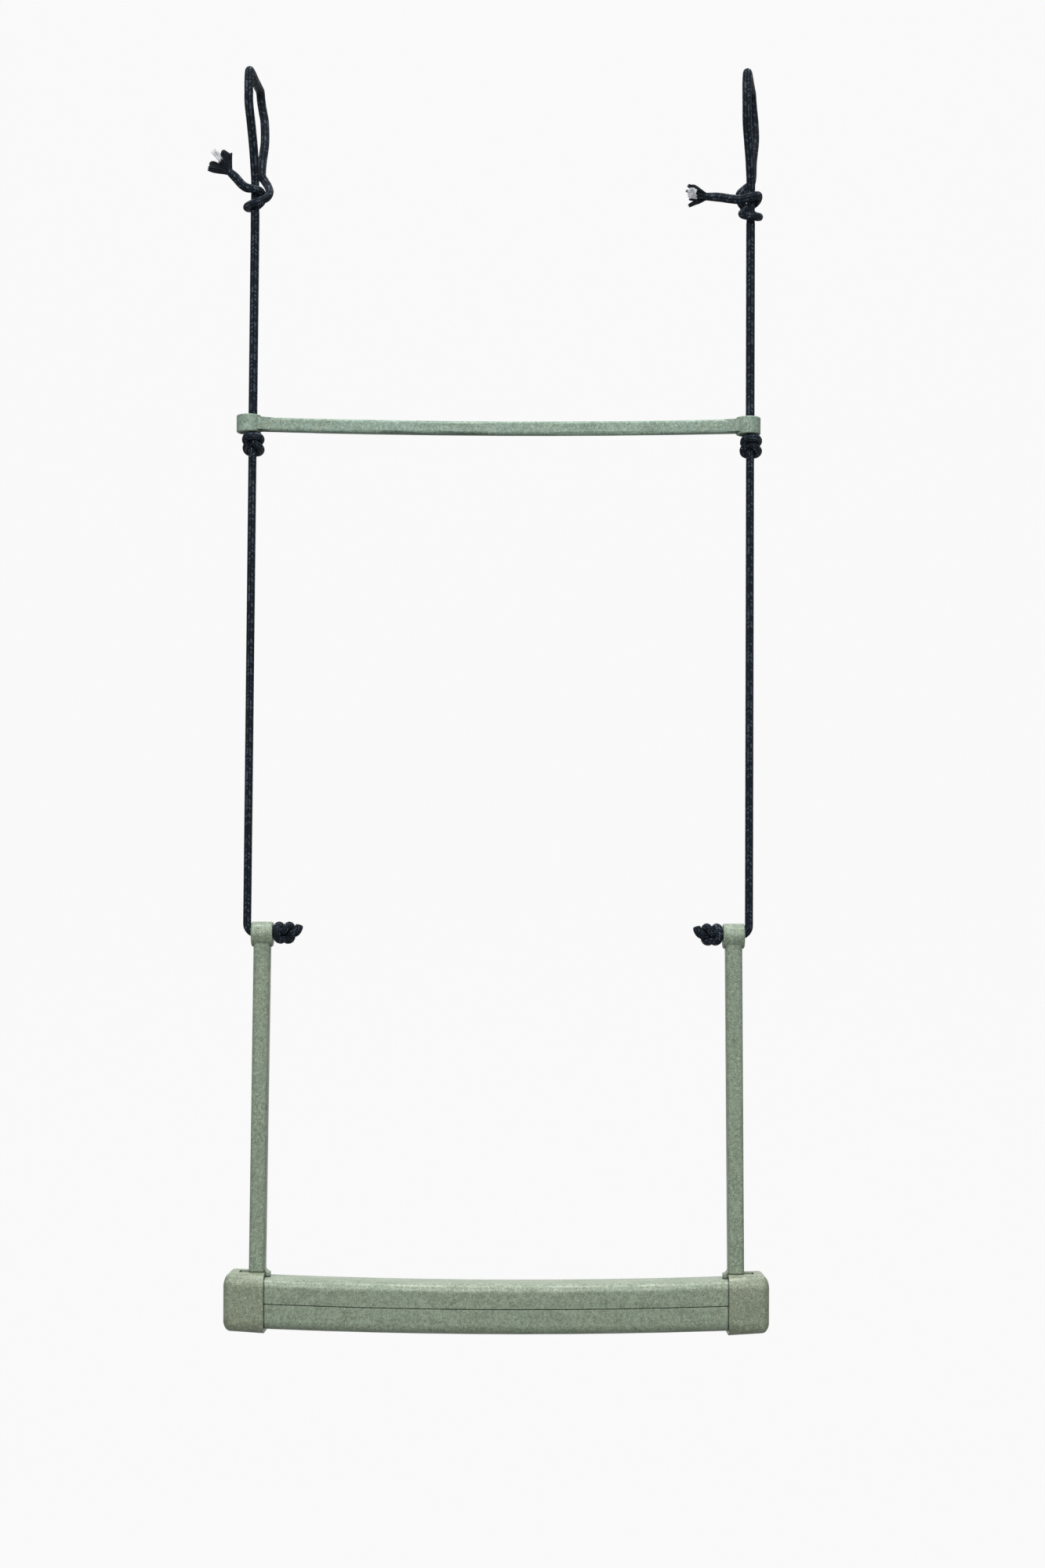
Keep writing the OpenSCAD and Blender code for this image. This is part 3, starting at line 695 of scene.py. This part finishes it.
@dataclass(frozen=True)
class LoopShape:
    """How one rope's top goes round what it hangs on, and how its loose tail lies.

    Lengths are in millimetres beside the rope's own line, and the hitch's in shares of its pitch.
    """

    top_x: float
    hitch_drop: float
    flex_start: float
    front: tuple[Point, ...]
    back: tuple[Point, ...]
    hitch_shares: tuple[Point, ...]
    tail: tuple[Point, ...]
    tufts: tuple[Tuft, ...]
    brush: Brush


LEFT_LOOP = LoopShape(
    top_x=-180.5,
    hitch_drop=85.0,
    flex_start=-96.5,
    front=(
        (0, -1, -66), (-0.5, -8, -50), (-1.5, -17, -34), (-2.5, -24, -21), (-2.5, -25.6, -13),
        (-2.5, -25.6, -5), (-2.2, -24.7, 2), (-1.6, -19, 3), (-0.6, 0, 3), (0.6, 19, 3),
    ),
    back=(
        (1.2, 24.7, 2), (1.9, 25.6, -5), (3.2, 25.6, -13), (4.6, 24, -21), (5.4, 17.5, -38),
        (4.2, 11, -54),
    ),
    hitch_shares=(
        (0.75, 1.15, 3.60), (1.20, 1.00, 2.75), (1.66, 0.55, 1.95), (1.90, -0.15, 1.02),
        (1.60, -0.98, 0.12), (0.60, -1.18, -0.42), (-0.40, -1.00, -0.75), (-1.02, -0.20, -0.92),
        (-0.72, 0.76, -0.80), (0.20, 1.06, -0.40), (0.90, 0.44, 0.20), (0.82, -0.52, 0.95),
        (0.05, -1.10, 1.20), (-0.90, -1.05, 1.35),
    ),
    tail=((-9, -6.5, -75.2), (-14, -6, -69.6), (-18.8, -5.5, -65.1)),
    tufts=(
        Tuft((-18.0, -6.4, -51.6), 3.2, 3.4, 9),
        Tuft((-23.1, -5.2, -49.4), 5.6, 1.2, 13, 0.68),
        Tuft((-26.0, -3.0, -55.5), 4.4, 3.0, 9),
        Tuft((-24.6, -8.4, -57.6), 2.6, 1.6, 6),
        Tuft((-33.2, -4.8, -58.9), 5.4, 1.6, 12, 0.66),
        Tuft((-34.2, -6.2, -63.3), 4.2, 2.6, 10),
    ),
    brush=Brush((-29.3, -7.0, -50.9), 3.0, 2.2, 20, 0.24, 0.7),
)
RIGHT_LOOP = LoopShape(
    top_x=183.0,
    hitch_drop=91.5,
    flex_start=-99.0,
    front=(
        (0, -1, -72), (-1.4, -8, -56), (-3, -14, -44), (-4.4, -19, -32), (-5, -24.5, -20), (-5.2, -25.6, -12),
        (-5.2, -25.6, -5), (-4.8, -24.7, 2), (-3.8, -19, 3), (-1.2, 0, 3), (1.4, 19, 3),
    ),
    back=(
        (2.4, 24.7, 2), (3, 25.6, -5), (3.8, 25.6, -13), (4.4, 24.2, -21), (4.4, 20, -34), (2.2, 11.5, -52),
    ),
    hitch_shares=(
        (0.18, 1.43, 4.20), (-0.68, 1.21, 3.25), (-1.36, 0.80, 2.50), (-1.32, 1.36, 1.79),
        (-0.68, 1.79, 0.98), (0.18, 1.82, 0.27), (0.82, 1.11, -0.36), (1.11, 0.11, -0.68),
        (0.68, -0.93, -0.91), (-0.34, -1.11, -0.88), (-1.09, -0.39, -0.48), (-0.88, 0.61, 0.12),
        (0.04, 0.98, 0.89), (0.86, 0.54, 1.52), (0.93, -0.50, 1.95), (0.11, -1.32, 1.62),
    ),
    tail=((-8, -7.4, -84.6), (-15, -7, -84.2), (-24, -6, -82.7), (-34, -5, -82)),
    tufts=(
        Tuft((-46.6, -5.4, -73.7), 2.4, 1.5, 7),
        Tuft((-43.4, -3.4, -73.0), 2.6, 1.5, 7),
        Tuft((-48.0, -3.6, -77.4), 1.8, 1.0, 5),
        Tuft((-42.2, -4.6, -77.2), 4.0, 2.4, 9),
        Tuft((-45.6, -1.4, -81.6), 5.0, 4.4, 10),
        Tuft((-42.6, -4.4, -86.2), 4.2, 2.8, 10),
        Tuft((-46.0, -5.2, -89.2), 2.2, 1.5, 7),
        Tuft((-40.2, -8.4, -78.9), 3.4, 2.8, 8),
        Tuft((-39.8, -8.6, -82.8), 3.6, 3.0, 8),
    ),
    brush=Brush((-44.0, -8.2, -80.0), 3.5, 4.1, 70, 0.52),
)


@dataclass
class FrayedEnd:
    """The cut end of a rope: dark tufts of yarn that spread round a pale core."""

    name: str
    shape: LoopShape
    root: Vector
    way: Vector
    rope_radius: float = 3.0 * MM
    yarn_radius: float = 0.60 * MM
    overlap: float = 3.0 * MM
    collar: float = 0.2 * MM
    rim_share: float = 0.62
    tuft_sprout: float = 1.6 * MM
    core_sprout: float = 2.0 * MM
    core_dome: float = 0.9
    core_ragged: float = 0.6 * MM
    yarn_steps: int = 4
    yarn_sides: int = 7
    yarn_taper: float = 0.35
    yarn_tip: float = 0.25

    def place(self, point: Point) -> Vector:
        """Turns millimetres beside the rope's own line into a place."""
        return Vector(point) * MM + Vector((self.shape.top_x * MM, 0.0, 0.0))

    def yarn(self, name: str, points: list[Vector], radius: float) -> RopeSkin:
        """Draws one yarn that thins a little towards its tip.

        Args:
            name: The yarn's name.
            points: Its given points, from the root to the tip.
            radius: Its radius.

        Returns:
            Its skin.
        """
        route = smooth_route(points, self.yarn_steps)
        last = len(route) - 1
        radii = [radius * (1.0 - self.yarn_taper * (i / last) ** 3) for i in range(last)]
        return RopeSkin(name, route, [*radii, radius * self.yarn_tip], sides=self.yarn_sides)

    def tuft(self, number: int, tuft: Tuft) -> list[RopeSkin]:
        """Draws the yarns of one tuft, side by side.

        Args:
            number: The tuft's number.
            tuft: Its tip and widths.

        Returns:
            Their skins.
        """
        tip = self.place(tuft.tip)
        reach = tip - self.root
        across = reach.cross(Vector((0.0, 1.0, 0.0))).normalized()
        depth = reach.cross(across).normalized()
        rim = (reach - self.way * reach.dot(self.way)).normalized() * self.rim_share * self.rope_radius
        middle = (self.root + self.way * self.tuft_sprout + rim).lerp(tip, tuft.belly_at)
        skins = []
        for i in range(tuft.yarns):
            # Each yarn lies a little nearer or farther than the next one, and ends a little shorter.
            side = 2.0 * i / (tuft.yarns - 1) - 1.0
            near = 0.5 * math.cos(2.4 * i + number)
            short = reach.normalized() * (0.35 + 0.45 * math.sin(5.0 * i + 2.0 * number)) * MM
            spread = across * side * 0.5 + depth * near * 0.7
            off = rim + (across * side + depth * near) * min(0.40 * tuft.belly * MM, self.rope_radius)
            off = off.normalized() * min(off.length, self.rope_radius - self.yarn_radius)
            points = [
                self.root - self.way * self.overlap + off * 0.75,
                self.root - self.way * self.collar + off,
                middle + spread * tuft.belly * MM,
                tip - short + spread * tuft.end * MM,
            ]
            skins.append(self.yarn(f"{self.name}_{number}_{i}", points, self.yarn_radius))
        return skins

    def strands(self) -> bpy.types.Object:
        """Builds the dark tufts as one piece."""
        skins = [skin for number, tuft in enumerate(self.shape.tufts) for skin in self.tuft(number, tuft)]
        return joined(f"fray_strands_{self.name}", skins)

    def core(self) -> bpy.types.Object:
        """Builds the pale fibres of the core, whose tips fill an oval.

        Returns:
            The piece.
        """
        brush, tip = self.shape.brush, self.place(self.shape.brush.tip)
        sprout = (self.root + self.way * self.core_sprout).lerp(tip, 0.55)
        skins = []
        for i in range(brush.fibres):
            share, turn = math.sqrt((i + 0.5) / brush.fibres), GOLDEN_ANGLE * i
            wide, high = math.cos(turn) * brush.half_w, math.sin(turn) * brush.half_h
            spot = Vector((share * wide, self.core_dome * share**2, share * high)) * MM
            belly = sprout + spot * brush.belly
            ragged = (tip - belly).normalized() * self.core_ragged * math.sin(7.0 * i)
            points = [self.root - self.way * self.overlap + spot * 0.35, belly, tip + spot + ragged]
            skins.append(self.yarn(f"{self.name}_core_{i}", points, brush.thick * MM))
        return joined(f"fray_core_{self.name}", skins)


@dataclass
class Stretch:
    """One joined length of rope, the names of two bodies and two points kept with it, and the CAD nodes that
    it replaces.
    """

    skin: RopeSkin
    bodies: tuple[str, str]
    bend: tuple[Vector, Vector]
    nodes: tuple[str, ...]
    far_end: str
    extras: list[bpy.types.Object] = field(default_factory=list)

    def build(self, cord: bpy.types.Material, diameter: float) -> None:
        """Builds the length, dresses it, hides the CAD nodes that it replaces and bakes its place into its
        mesh.

        Args:
            cord: The braid's finish.
            diameter: The rope's own diameter; not used.
        """
        piece = self.skin.build()
        piece.data.materials.append(cord)
        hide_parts(*self.nodes)
        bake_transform(piece)


@dataclass
class HangingRope:
    """One rope from its loose tail to the knot behind the eye, in three joined lengths."""

    side: Side
    shape: LoopShape
    knots: Knots = field(default_factory=Knots)
    radius: float = 3.0 * MM
    slack_radius: float = 3.25 * MM
    hitch_radius: float = 3.00 * MM
    tight_radius: float = 2.80 * MM
    hitch_ease: float = 1.5
    hitch_foot: float = 9.0
    tail_thinning: float = 0.22
    knot_core: float = 0.9
    neck_cut_z: float = -104.1 * MM
    sway_z: float = -107.5 * MM
    sway_end_z: float = -111.0 * MM
    stop_knot_z: float = -263.73 * MM
    end_flex_z: float = -613.0 * MM
    end_flex_rise: float = 7.0 * MM
    end_flex_drop: float = 13.5 * MM
    end_flex_in: float = 10.0 * MM
    foot_x: float = 184.0 * MM
    stub_z: float = -622.45 * MM
    end_knot_x: float = 156.72 * MM
    bend_radius: float = 7.0 * MM
    bend_steps: int = 12
    eye_run: tuple[float, ...] = (9.5, 7.5, 5.0, 2.5)
    cut_end: tuple[Point, ...] = ((6.44, 0.0, 0.0), (8.5, 0.0, 0.9), (10.0, 0.0, 2.8), (10.8, 0.0, 5.2))
    cut_dome: tuple[tuple[float, float], ...] = ((0.25, 0.93), (0.42, 0.74), (0.5, 0.42))
    steps: int = 7
    neck_step: float = 0.7 * MM
    sway_step: float = 0.6 * MM
    end_step: float = 0.8 * MM
    long_step: float = 12 * MM

    def line_at(self, z: float) -> Vector:
        """Finds the point of the straight rope at a level.

        Args:
            z: The level.

        Returns:
            The point.
        """
        top, foot = self.shape.top_x * MM, self.side.value * self.foot_x
        share = (self.sway_z - z) / (self.sway_z - self.end_flex_z)
        return Vector((top + share * (foot - top), 0.0, z))

    def levels(self, low: float, high: float, step: float) -> list[float]:
        """Lists levels from high down to low, about a step apart."""
        count = max(2, math.ceil((high - low) / step))
        return [high + (low - high) * i / count for i in range(count + 1)]

    def knot_radius(self, share: float, tight: float, free: float) -> float:
        """Finds the rope's radius at a share of the way out of a knot, from tight to free."""
        return tight + (free - tight) * min(max(share, 0.0), 1.0) ** 2

    def overhand(self) -> tuple[list[Vector], list[float]]:
        """Draws an overhand knot about its own middle.

        Returns:
            Its points and the rope's radius at each.
        """
        points = smooth_route(self.knots.overhand(), self.steps)
        radii = []
        for p in points:
            off_line = math.hypot(p.x, p.y) > 0.25 * self.knots.pitch
            share = (abs(p.z) / self.knots.pitch - self.knot_core) / (self.knots.reach_share - self.knot_core)
            radii.append(self.knot_radius(0.0 if off_line else share, self.tight_radius, self.radius))
        return points, radii

    def top(self) -> RopeSkin:
        """Draws the top of the rope: the standing part, the loop, the hitch and the loose tail.

        Returns:
            Its skin.
        """
        shape, pitch = self.shape, self.knots.pitch
        drop = Vector((0.0, 0.0, shape.hitch_drop * MM))
        under_hitch = -(shape.hitch_drop + self.hitch_foot) * MM
        risen = reversed(self.levels(self.neck_cut_z, under_hitch, self.neck_step))
        standing = [Vector((0.0, 0.0, z)) for z in risen]
        standing += [-drop - Vector((0, 0, pitch / 2)), -drop + Vector((0, 0, 2 * pitch))]
        front, back, tail = ([Vector(p) * MM for p in part] for part in (shape.front, shape.back, shape.tail))
        hitch = [Vector(p) * pitch - drop for p in shape.hitch_shares]
        points = smooth_route([*standing, *front, *back, *hitch, *tail], self.steps)
        first_hitch = len(standing) + len(front) + len(back)
        last_hitch = first_hitch + len(hitch) - 1
        radii = []
        for i in range(len(points)):
            # The rope is tighter in the hitch's turns and where the standing part runs through them.
            at = i / self.steps
            into_hitch = min(at - first_hitch, last_hitch - at) / self.hitch_ease
            into_standing = min(at - (len(standing) - 3), len(standing) - at)
            share = 1.0 - max(into_hitch, into_standing)
            radii.append(self.knot_radius(share, self.hitch_radius, self.slack_radius))
        thinning = (1 - self.tail_thinning * n / self.steps for n in range(self.steps))
        radii[-self.steps:] = [self.slack_radius * share for share in thinning]
        offset = Vector((shape.top_x * MM, 0.0, 0.0))
        return RopeSkin(f"braid_top_{self.side.word}", [p + offset for p in points], radii)

    def upper(self) -> RopeSkin:
        """Draws the stretch from under the hitch through the stop knot.

        Returns:
            Its skin.
        """
        knot, knot_radii = self.overhand()
        place = self.line_at(self.stop_knot_z)
        end = self.stop_knot_z + self.knots.reach
        bend = self.levels(self.sway_end_z, self.neck_cut_z, self.sway_step)
        straight = self.levels(end, self.sway_end_z, self.long_step)[1:-1]
        points = [self.line_at(z) for z in [*bend, *straight]]
        points[0].x = self.shape.top_x * MM
        radii = [self.slack_radius] * len(points) + knot_radii
        return RopeSkin(f"braid_upper_{self.side.word}", points + [p + place for p in knot], radii)

    def down_to_eye(self) -> list[Vector]:
        """Places the rope from the stop knot down to the eye and round the bend into it.

        Returns:
            The points.
        """
        side, start = self.side.value, self.stop_knot_z - self.knots.reach
        flex_top, flex_low = self.end_flex_z + self.end_flex_rise, self.stub_z + self.bend_radius
        levels = self.levels(flex_top, start, self.long_step)[:-1]
        levels += self.levels(flex_low, flex_top, self.end_step)
        points = [self.line_at(max(z, self.end_flex_z)) for z in levels]
        for point, z in zip(points, levels):
            point.z = z
        for i in range(1, self.bend_steps):
            a = math.pi / 2 * i / self.bend_steps
            out = self.foot_x - self.bend_radius + self.bend_radius * math.cos(a)
            points.append(Vector((side * out, 0.0, flex_low - self.bend_radius * math.sin(a))))
        return points

    def lower(self) -> RopeSkin:
        """Draws the stretch from the stop knot down to the eye, through it, and its end knot.

        Returns:
            Its skin.
        """
        side, hanging = self.side.value, self.down_to_eye()
        place = Vector((side * self.end_knot_x, 0.0, self.stub_z))
        outs = [self.knots.reach + x * MM for x in self.eye_run]
        through = [place + Vector((side * out, 0.0, 0.0)) for out in outs]
        knot, knot_radii = (part[:-self.steps] for part in self.overhand())
        knotted = [place + Vector((side * p.z, p.y, p.x)) for p in knot]
        stub = smooth_route([Vector(p) * MM for p in self.cut_end], self.steps)[1:]
        tail = [place + Vector((-side * p.x, p.y, p.z)) for p in stub]
        tip = (tail[-1] - tail[-2]).normalized()
        tail += [tail[-1] + tip * self.radius * past for past, _ in self.cut_dome]
        radii = [self.radius] * (len(hanging) + len(through)) + knot_radii + [self.radius] * len(stub)
        radii += [self.radius * width for _, width in self.cut_dome]
        return RopeSkin(f"braid_lower_{self.side.word}", hanging + through + knotted + tail, radii)

    def fray(self, top: RopeSkin) -> FrayedEnd:
        """Places the frayed end at the tip of the loose tail."""
        return FrayedEnd(self.side.word, self.shape, top.points[-1], directions(top.points)[-1])

    def stretches(
        self, top: RopeSkin, upper: RopeSkin, lower: RopeSkin, loose: list[bpy.types.Object]
    ) -> tuple[Stretch, ...]:
        """Plans the rope's three joined lengths.

        Args:
            top: The skin of the top.
            upper: The skin of the stretch through the stop knot.
            lower: The skin of the stretch through the eye.
            loose: The pieces of the frayed end.

        Returns:
            The plans, from the top down.
        """
        word = self.side.word
        rope, rope_end = f"{word}_rope", f"{word}_rope_end"
        swing_top, neck_cut, sway_end = (
            Vector((self.shape.top_x * MM, 0.0, z))
            for z in (self.shape.flex_start * MM, self.neck_cut_z, self.sway_end_z)
        )
        flex_top = self.line_at(self.end_flex_z) + Vector((0.0, 0.0, self.end_flex_rise))
        flex_end = flex_top + Vector((-self.side.value * self.end_flex_in, 0.0, -self.end_flex_drop))
        return (
            Stretch(
                top, ("top_loops", "rope_necks"), (swing_top, neck_cut),
                tuple(f"{part}_{word}" for part in ("rope_loop", "hitch_knot", "rope_tail", "rope_neck")),
                "bare", loose,
            ),
            Stretch(
                upper, ("rope_necks", rope), (neck_cut, sway_end),
                (f"rope_upper_{word}", f"stop_knot_{word}"), "knot",
            ),
            Stretch(
                lower, (rope, rope_end), (flex_top, flex_end),
                (f"rope_lower_{word}", f"rope_end_{word}", f"end_knot_{word}"), "knot",
            ),
        )

    def build(self, cord: bpy.types.Material, yarn: bpy.types.Material, core: bpy.types.Material) -> None:
        """Builds the rope's pieces, dresses them and ties the pieces of its frayed end to the top loops.

        Args:
            cord: The braid's finish.
            yarn: The finish of the loose dark yarn.
            core: The finish of the pale core.
        """
        top, upper, lower = self.top(), self.upper(), self.lower()
        upper.start_length = route_length(top.points)
        lower.start_length = upper.start_length + route_length(upper.points)
        frayed = self.fray(top)
        loose = [frayed.strands(), frayed.core()]
        for piece, finish, slot in zip(loose, (yarn, core), ("black_rope", "rope_core")):
            piece.data.materials.append(finish)
            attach(piece, "top_loops")
        for stretch in self.stretches(top, upper, lower, loose):
            stretch.build(cord, 2 * self.radius)


def dress(node: str, finish: bpy.types.Material) -> None:
    """Gives a CAD node its finish.

    Args:
        node: The node's name.
        finish: The material.
    """
    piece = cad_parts[node]
    if piece.material_slots:
        piece.material_slots[0].material = finish
    else:
        piece.data.materials.append(finish)
    LOG.info("%s: %s", node, finish.name)


@dataclass
class Perch:
    """The bowed perch bar in two shells, its two end caps and its two arms."""

    groups: Groups
    lengthwise: tuple[str, ...] = ("perch_upper_shell", "perch_lower_shell", "end_cap_left", "end_cap_right")
    upright: tuple[str, ...] = ("arm_left", "arm_right")

    def build(self) -> None:
        """Dresses the perch's nodes."""
        bar = SpeckledPlastic("sage_perch", Streak.ALONG_X).build(self.groups)
        cap = SpeckledPlastic("sage_cap", Streak.ALONG_X, base=(0.256, 0.300, 0.214)).build(self.groups)
        arm = SpeckledPlastic("sage_arm", Streak.ALONG_Z, base=(0.243, 0.314, 0.235)).build(self.groups)
        for node in self.lengthwise:
            dress(node, cap if node.startswith("end_cap") else bar)
        for node in self.upright:
            dress(node, arm)


@dataclass
class Spreader:
    """The bowed bar with a ring at each end that keeps the ropes apart."""

    groups: Groups

    def build(self) -> None:
        """Dresses the spreader bar."""
        finish = SpeckledPlastic(
            "sage_spreader", Streak.ALONG_X, base=(0.272, 0.384, 0.319), roughness=(0.54, 0.68)
        )
        dress("spreader_bar", finish.build(self.groups))


@dataclass
class PhotoCamera:
    """The camera that took the photo: level, far off and a little to the right of the middle."""

    distance: float = 2.10
    scale: float = 0.575 * MM
    frame_w: int = 1333
    frame_h: int = 2000
    middle_px: float = 635.0
    top_row: float = 109.5
    level_row: float = 1250.0
    roll: float = math.radians(0.25)
    sensor: float = 36.0
    near: float = 0.05
    far: float = 50.0

    def build(self) -> None:
        """Makes the camera and sets it as the scene's own."""
        data = bpy.data.cameras.new("photo_camera")
        data.sensor_width = self.sensor
        data.lens = self.sensor * self.distance / (self.scale * self.frame_h)
        data.shift_y = (self.level_row - self.frame_h / 2) / self.frame_h
        data.clip_start, data.clip_end = self.near, self.far
        x = (self.frame_w / 2 - self.middle_px) * self.scale
        z = -(self.level_row - self.top_row) * self.scale
        turn = Matrix.Rotation(math.pi / 2, 4, "X") @ Matrix.Rotation(self.roll, 4, "Z")
        camera = add_object("photo_camera", data)
        camera.matrix_world = Matrix.Translation((x, -self.distance, z)) @ turn
        bpy.context.scene.camera = camera


@dataclass(frozen=True)
class Lamp:
    """A soft square lamp: where it hangs, the length of its sides and its power in watts."""

    name: str
    place: Point
    size: float
    power: float

    def hang(self, aim: Point) -> None:
        """Hangs the lamp.

        Args:
            aim: The point that it faces.
        """
        data = bpy.data.lights.new(self.name, "AREA")
        data.shape, data.size, data.energy = "SQUARE", self.size, self.power
        turn = (Vector(aim) - Vector(self.place)).to_track_quat("-Z", "Y").to_matrix().to_4x4()
        add_object(self.name, data).matrix_world = Matrix.Translation(self.place) @ turn


@dataclass
class Studio:
    """A pale floor and backdrop under soft lamps."""

    floor_z: float = -1.30
    half_width: float = 6.0
    front_y: float = -6.0
    back_y: float = 2.6
    curve_r: float = 0.9
    curve_steps: int = 16
    height: float = 4.5
    room_light: float = 0.06
    aim: Point = (0.0, 0.0, -0.45)
    lamps: tuple[Lamp, ...] = (
        Lamp("key_lamp", (-0.15, -2.9, 0.9), 0.9, 63.0),
        Lamp("fill_lamp", (0.2, -3.0, -0.1), 0.9, 9.0),
        Lamp("top_lamp", (0.0, -0.5, 5.0), 1.5, 285.0),
        Lamp("back_lamp", (0.1, 2.1, 1.7), 1.0, 8.0),
    )

    def sweep(self) -> None:
        """Builds the floor and backdrop as one curved sheet."""
        turns = (math.pi / 2 * i / self.curve_steps for i in range(self.curve_steps + 1))
        start_y, r = self.back_y - self.curve_r, self.curve_r
        bend = [(start_y + r * math.sin(a), self.floor_z + r * (1 - math.cos(a))) for a in turns]
        line = [(self.front_y, self.floor_z), *bend, (self.back_y, self.floor_z + self.height)]
        corners = [(x, y, z) for y, z in line for x in (-self.half_width, self.half_width)]
        faces = [(2 * i, 2 * i + 1, 2 * i + 3, 2 * i + 2) for i in range(len(line) - 1)]
        mesh = bpy.data.meshes.new("studio_sweep")
        mesh.from_pydata(corners, [], faces)
        mesh.polygons.foreach_set("use_smooth", [True] * len(faces))
        sheet = add_object("studio_sweep", mesh)
        sheet.data.materials.append(PaleStudio().build())

    def sky(self) -> None:
        """Sets the soft light from all round, which the camera sees as white."""
        world = bpy.data.worlds.new("pale_room")
        bpy.context.scene.world = world
        world.use_nodes = True
        bench = Bench(world.node_tree)
        room, white = (
            bench.add("Background", {"Color": (1.0, 1.0, 1.0), "Strength": strength}).outputs[0]
            for strength in (self.room_light, 1.0)
        )
        both = bench.add("MixShader", {0: shows_background(bench), 1: room, 2: white})
        bench.add("OutputWorld", {"Surface": both.outputs[0]})

    def build(self) -> None:
        """Builds the sheet, the soft light and the lamps."""
        self.sweep()
        self.sky()
        for lamp in self.lamps:
            lamp.hang(self.aim)


def main() -> None:
    """Builds the camera, the ropes, the plastic pieces and the studio, in that order."""
    logging.basicConfig(level=logging.INFO, format="%(name)s %(message)s")
    PhotoCamera().build()
    groups = Groups()
    cord = BraidedCord().build(groups)
    yarn = LooseFibre("loose_yarn", dark=(0.002, 0.003, 0.004), light=(0.010, 0.015, 0.022)).build()
    core = LooseFibre("pale_core", dark=(0.34, 0.35, 0.38), light=(0.80, 0.82, 0.86), roughness=0.7).build()
    for side, shape in ((Side.LEFT, LEFT_LOOP), (Side.RIGHT, RIGHT_LOOP)):
        HangingRope(side, shape).build(cord, yarn, core)
    Perch(groups).build()
    Spreader(groups).build()
    Studio().build()
    bpy.context.scene.view_settings.view_transform = "Standard"


if __name__ == "__main__":
    main()
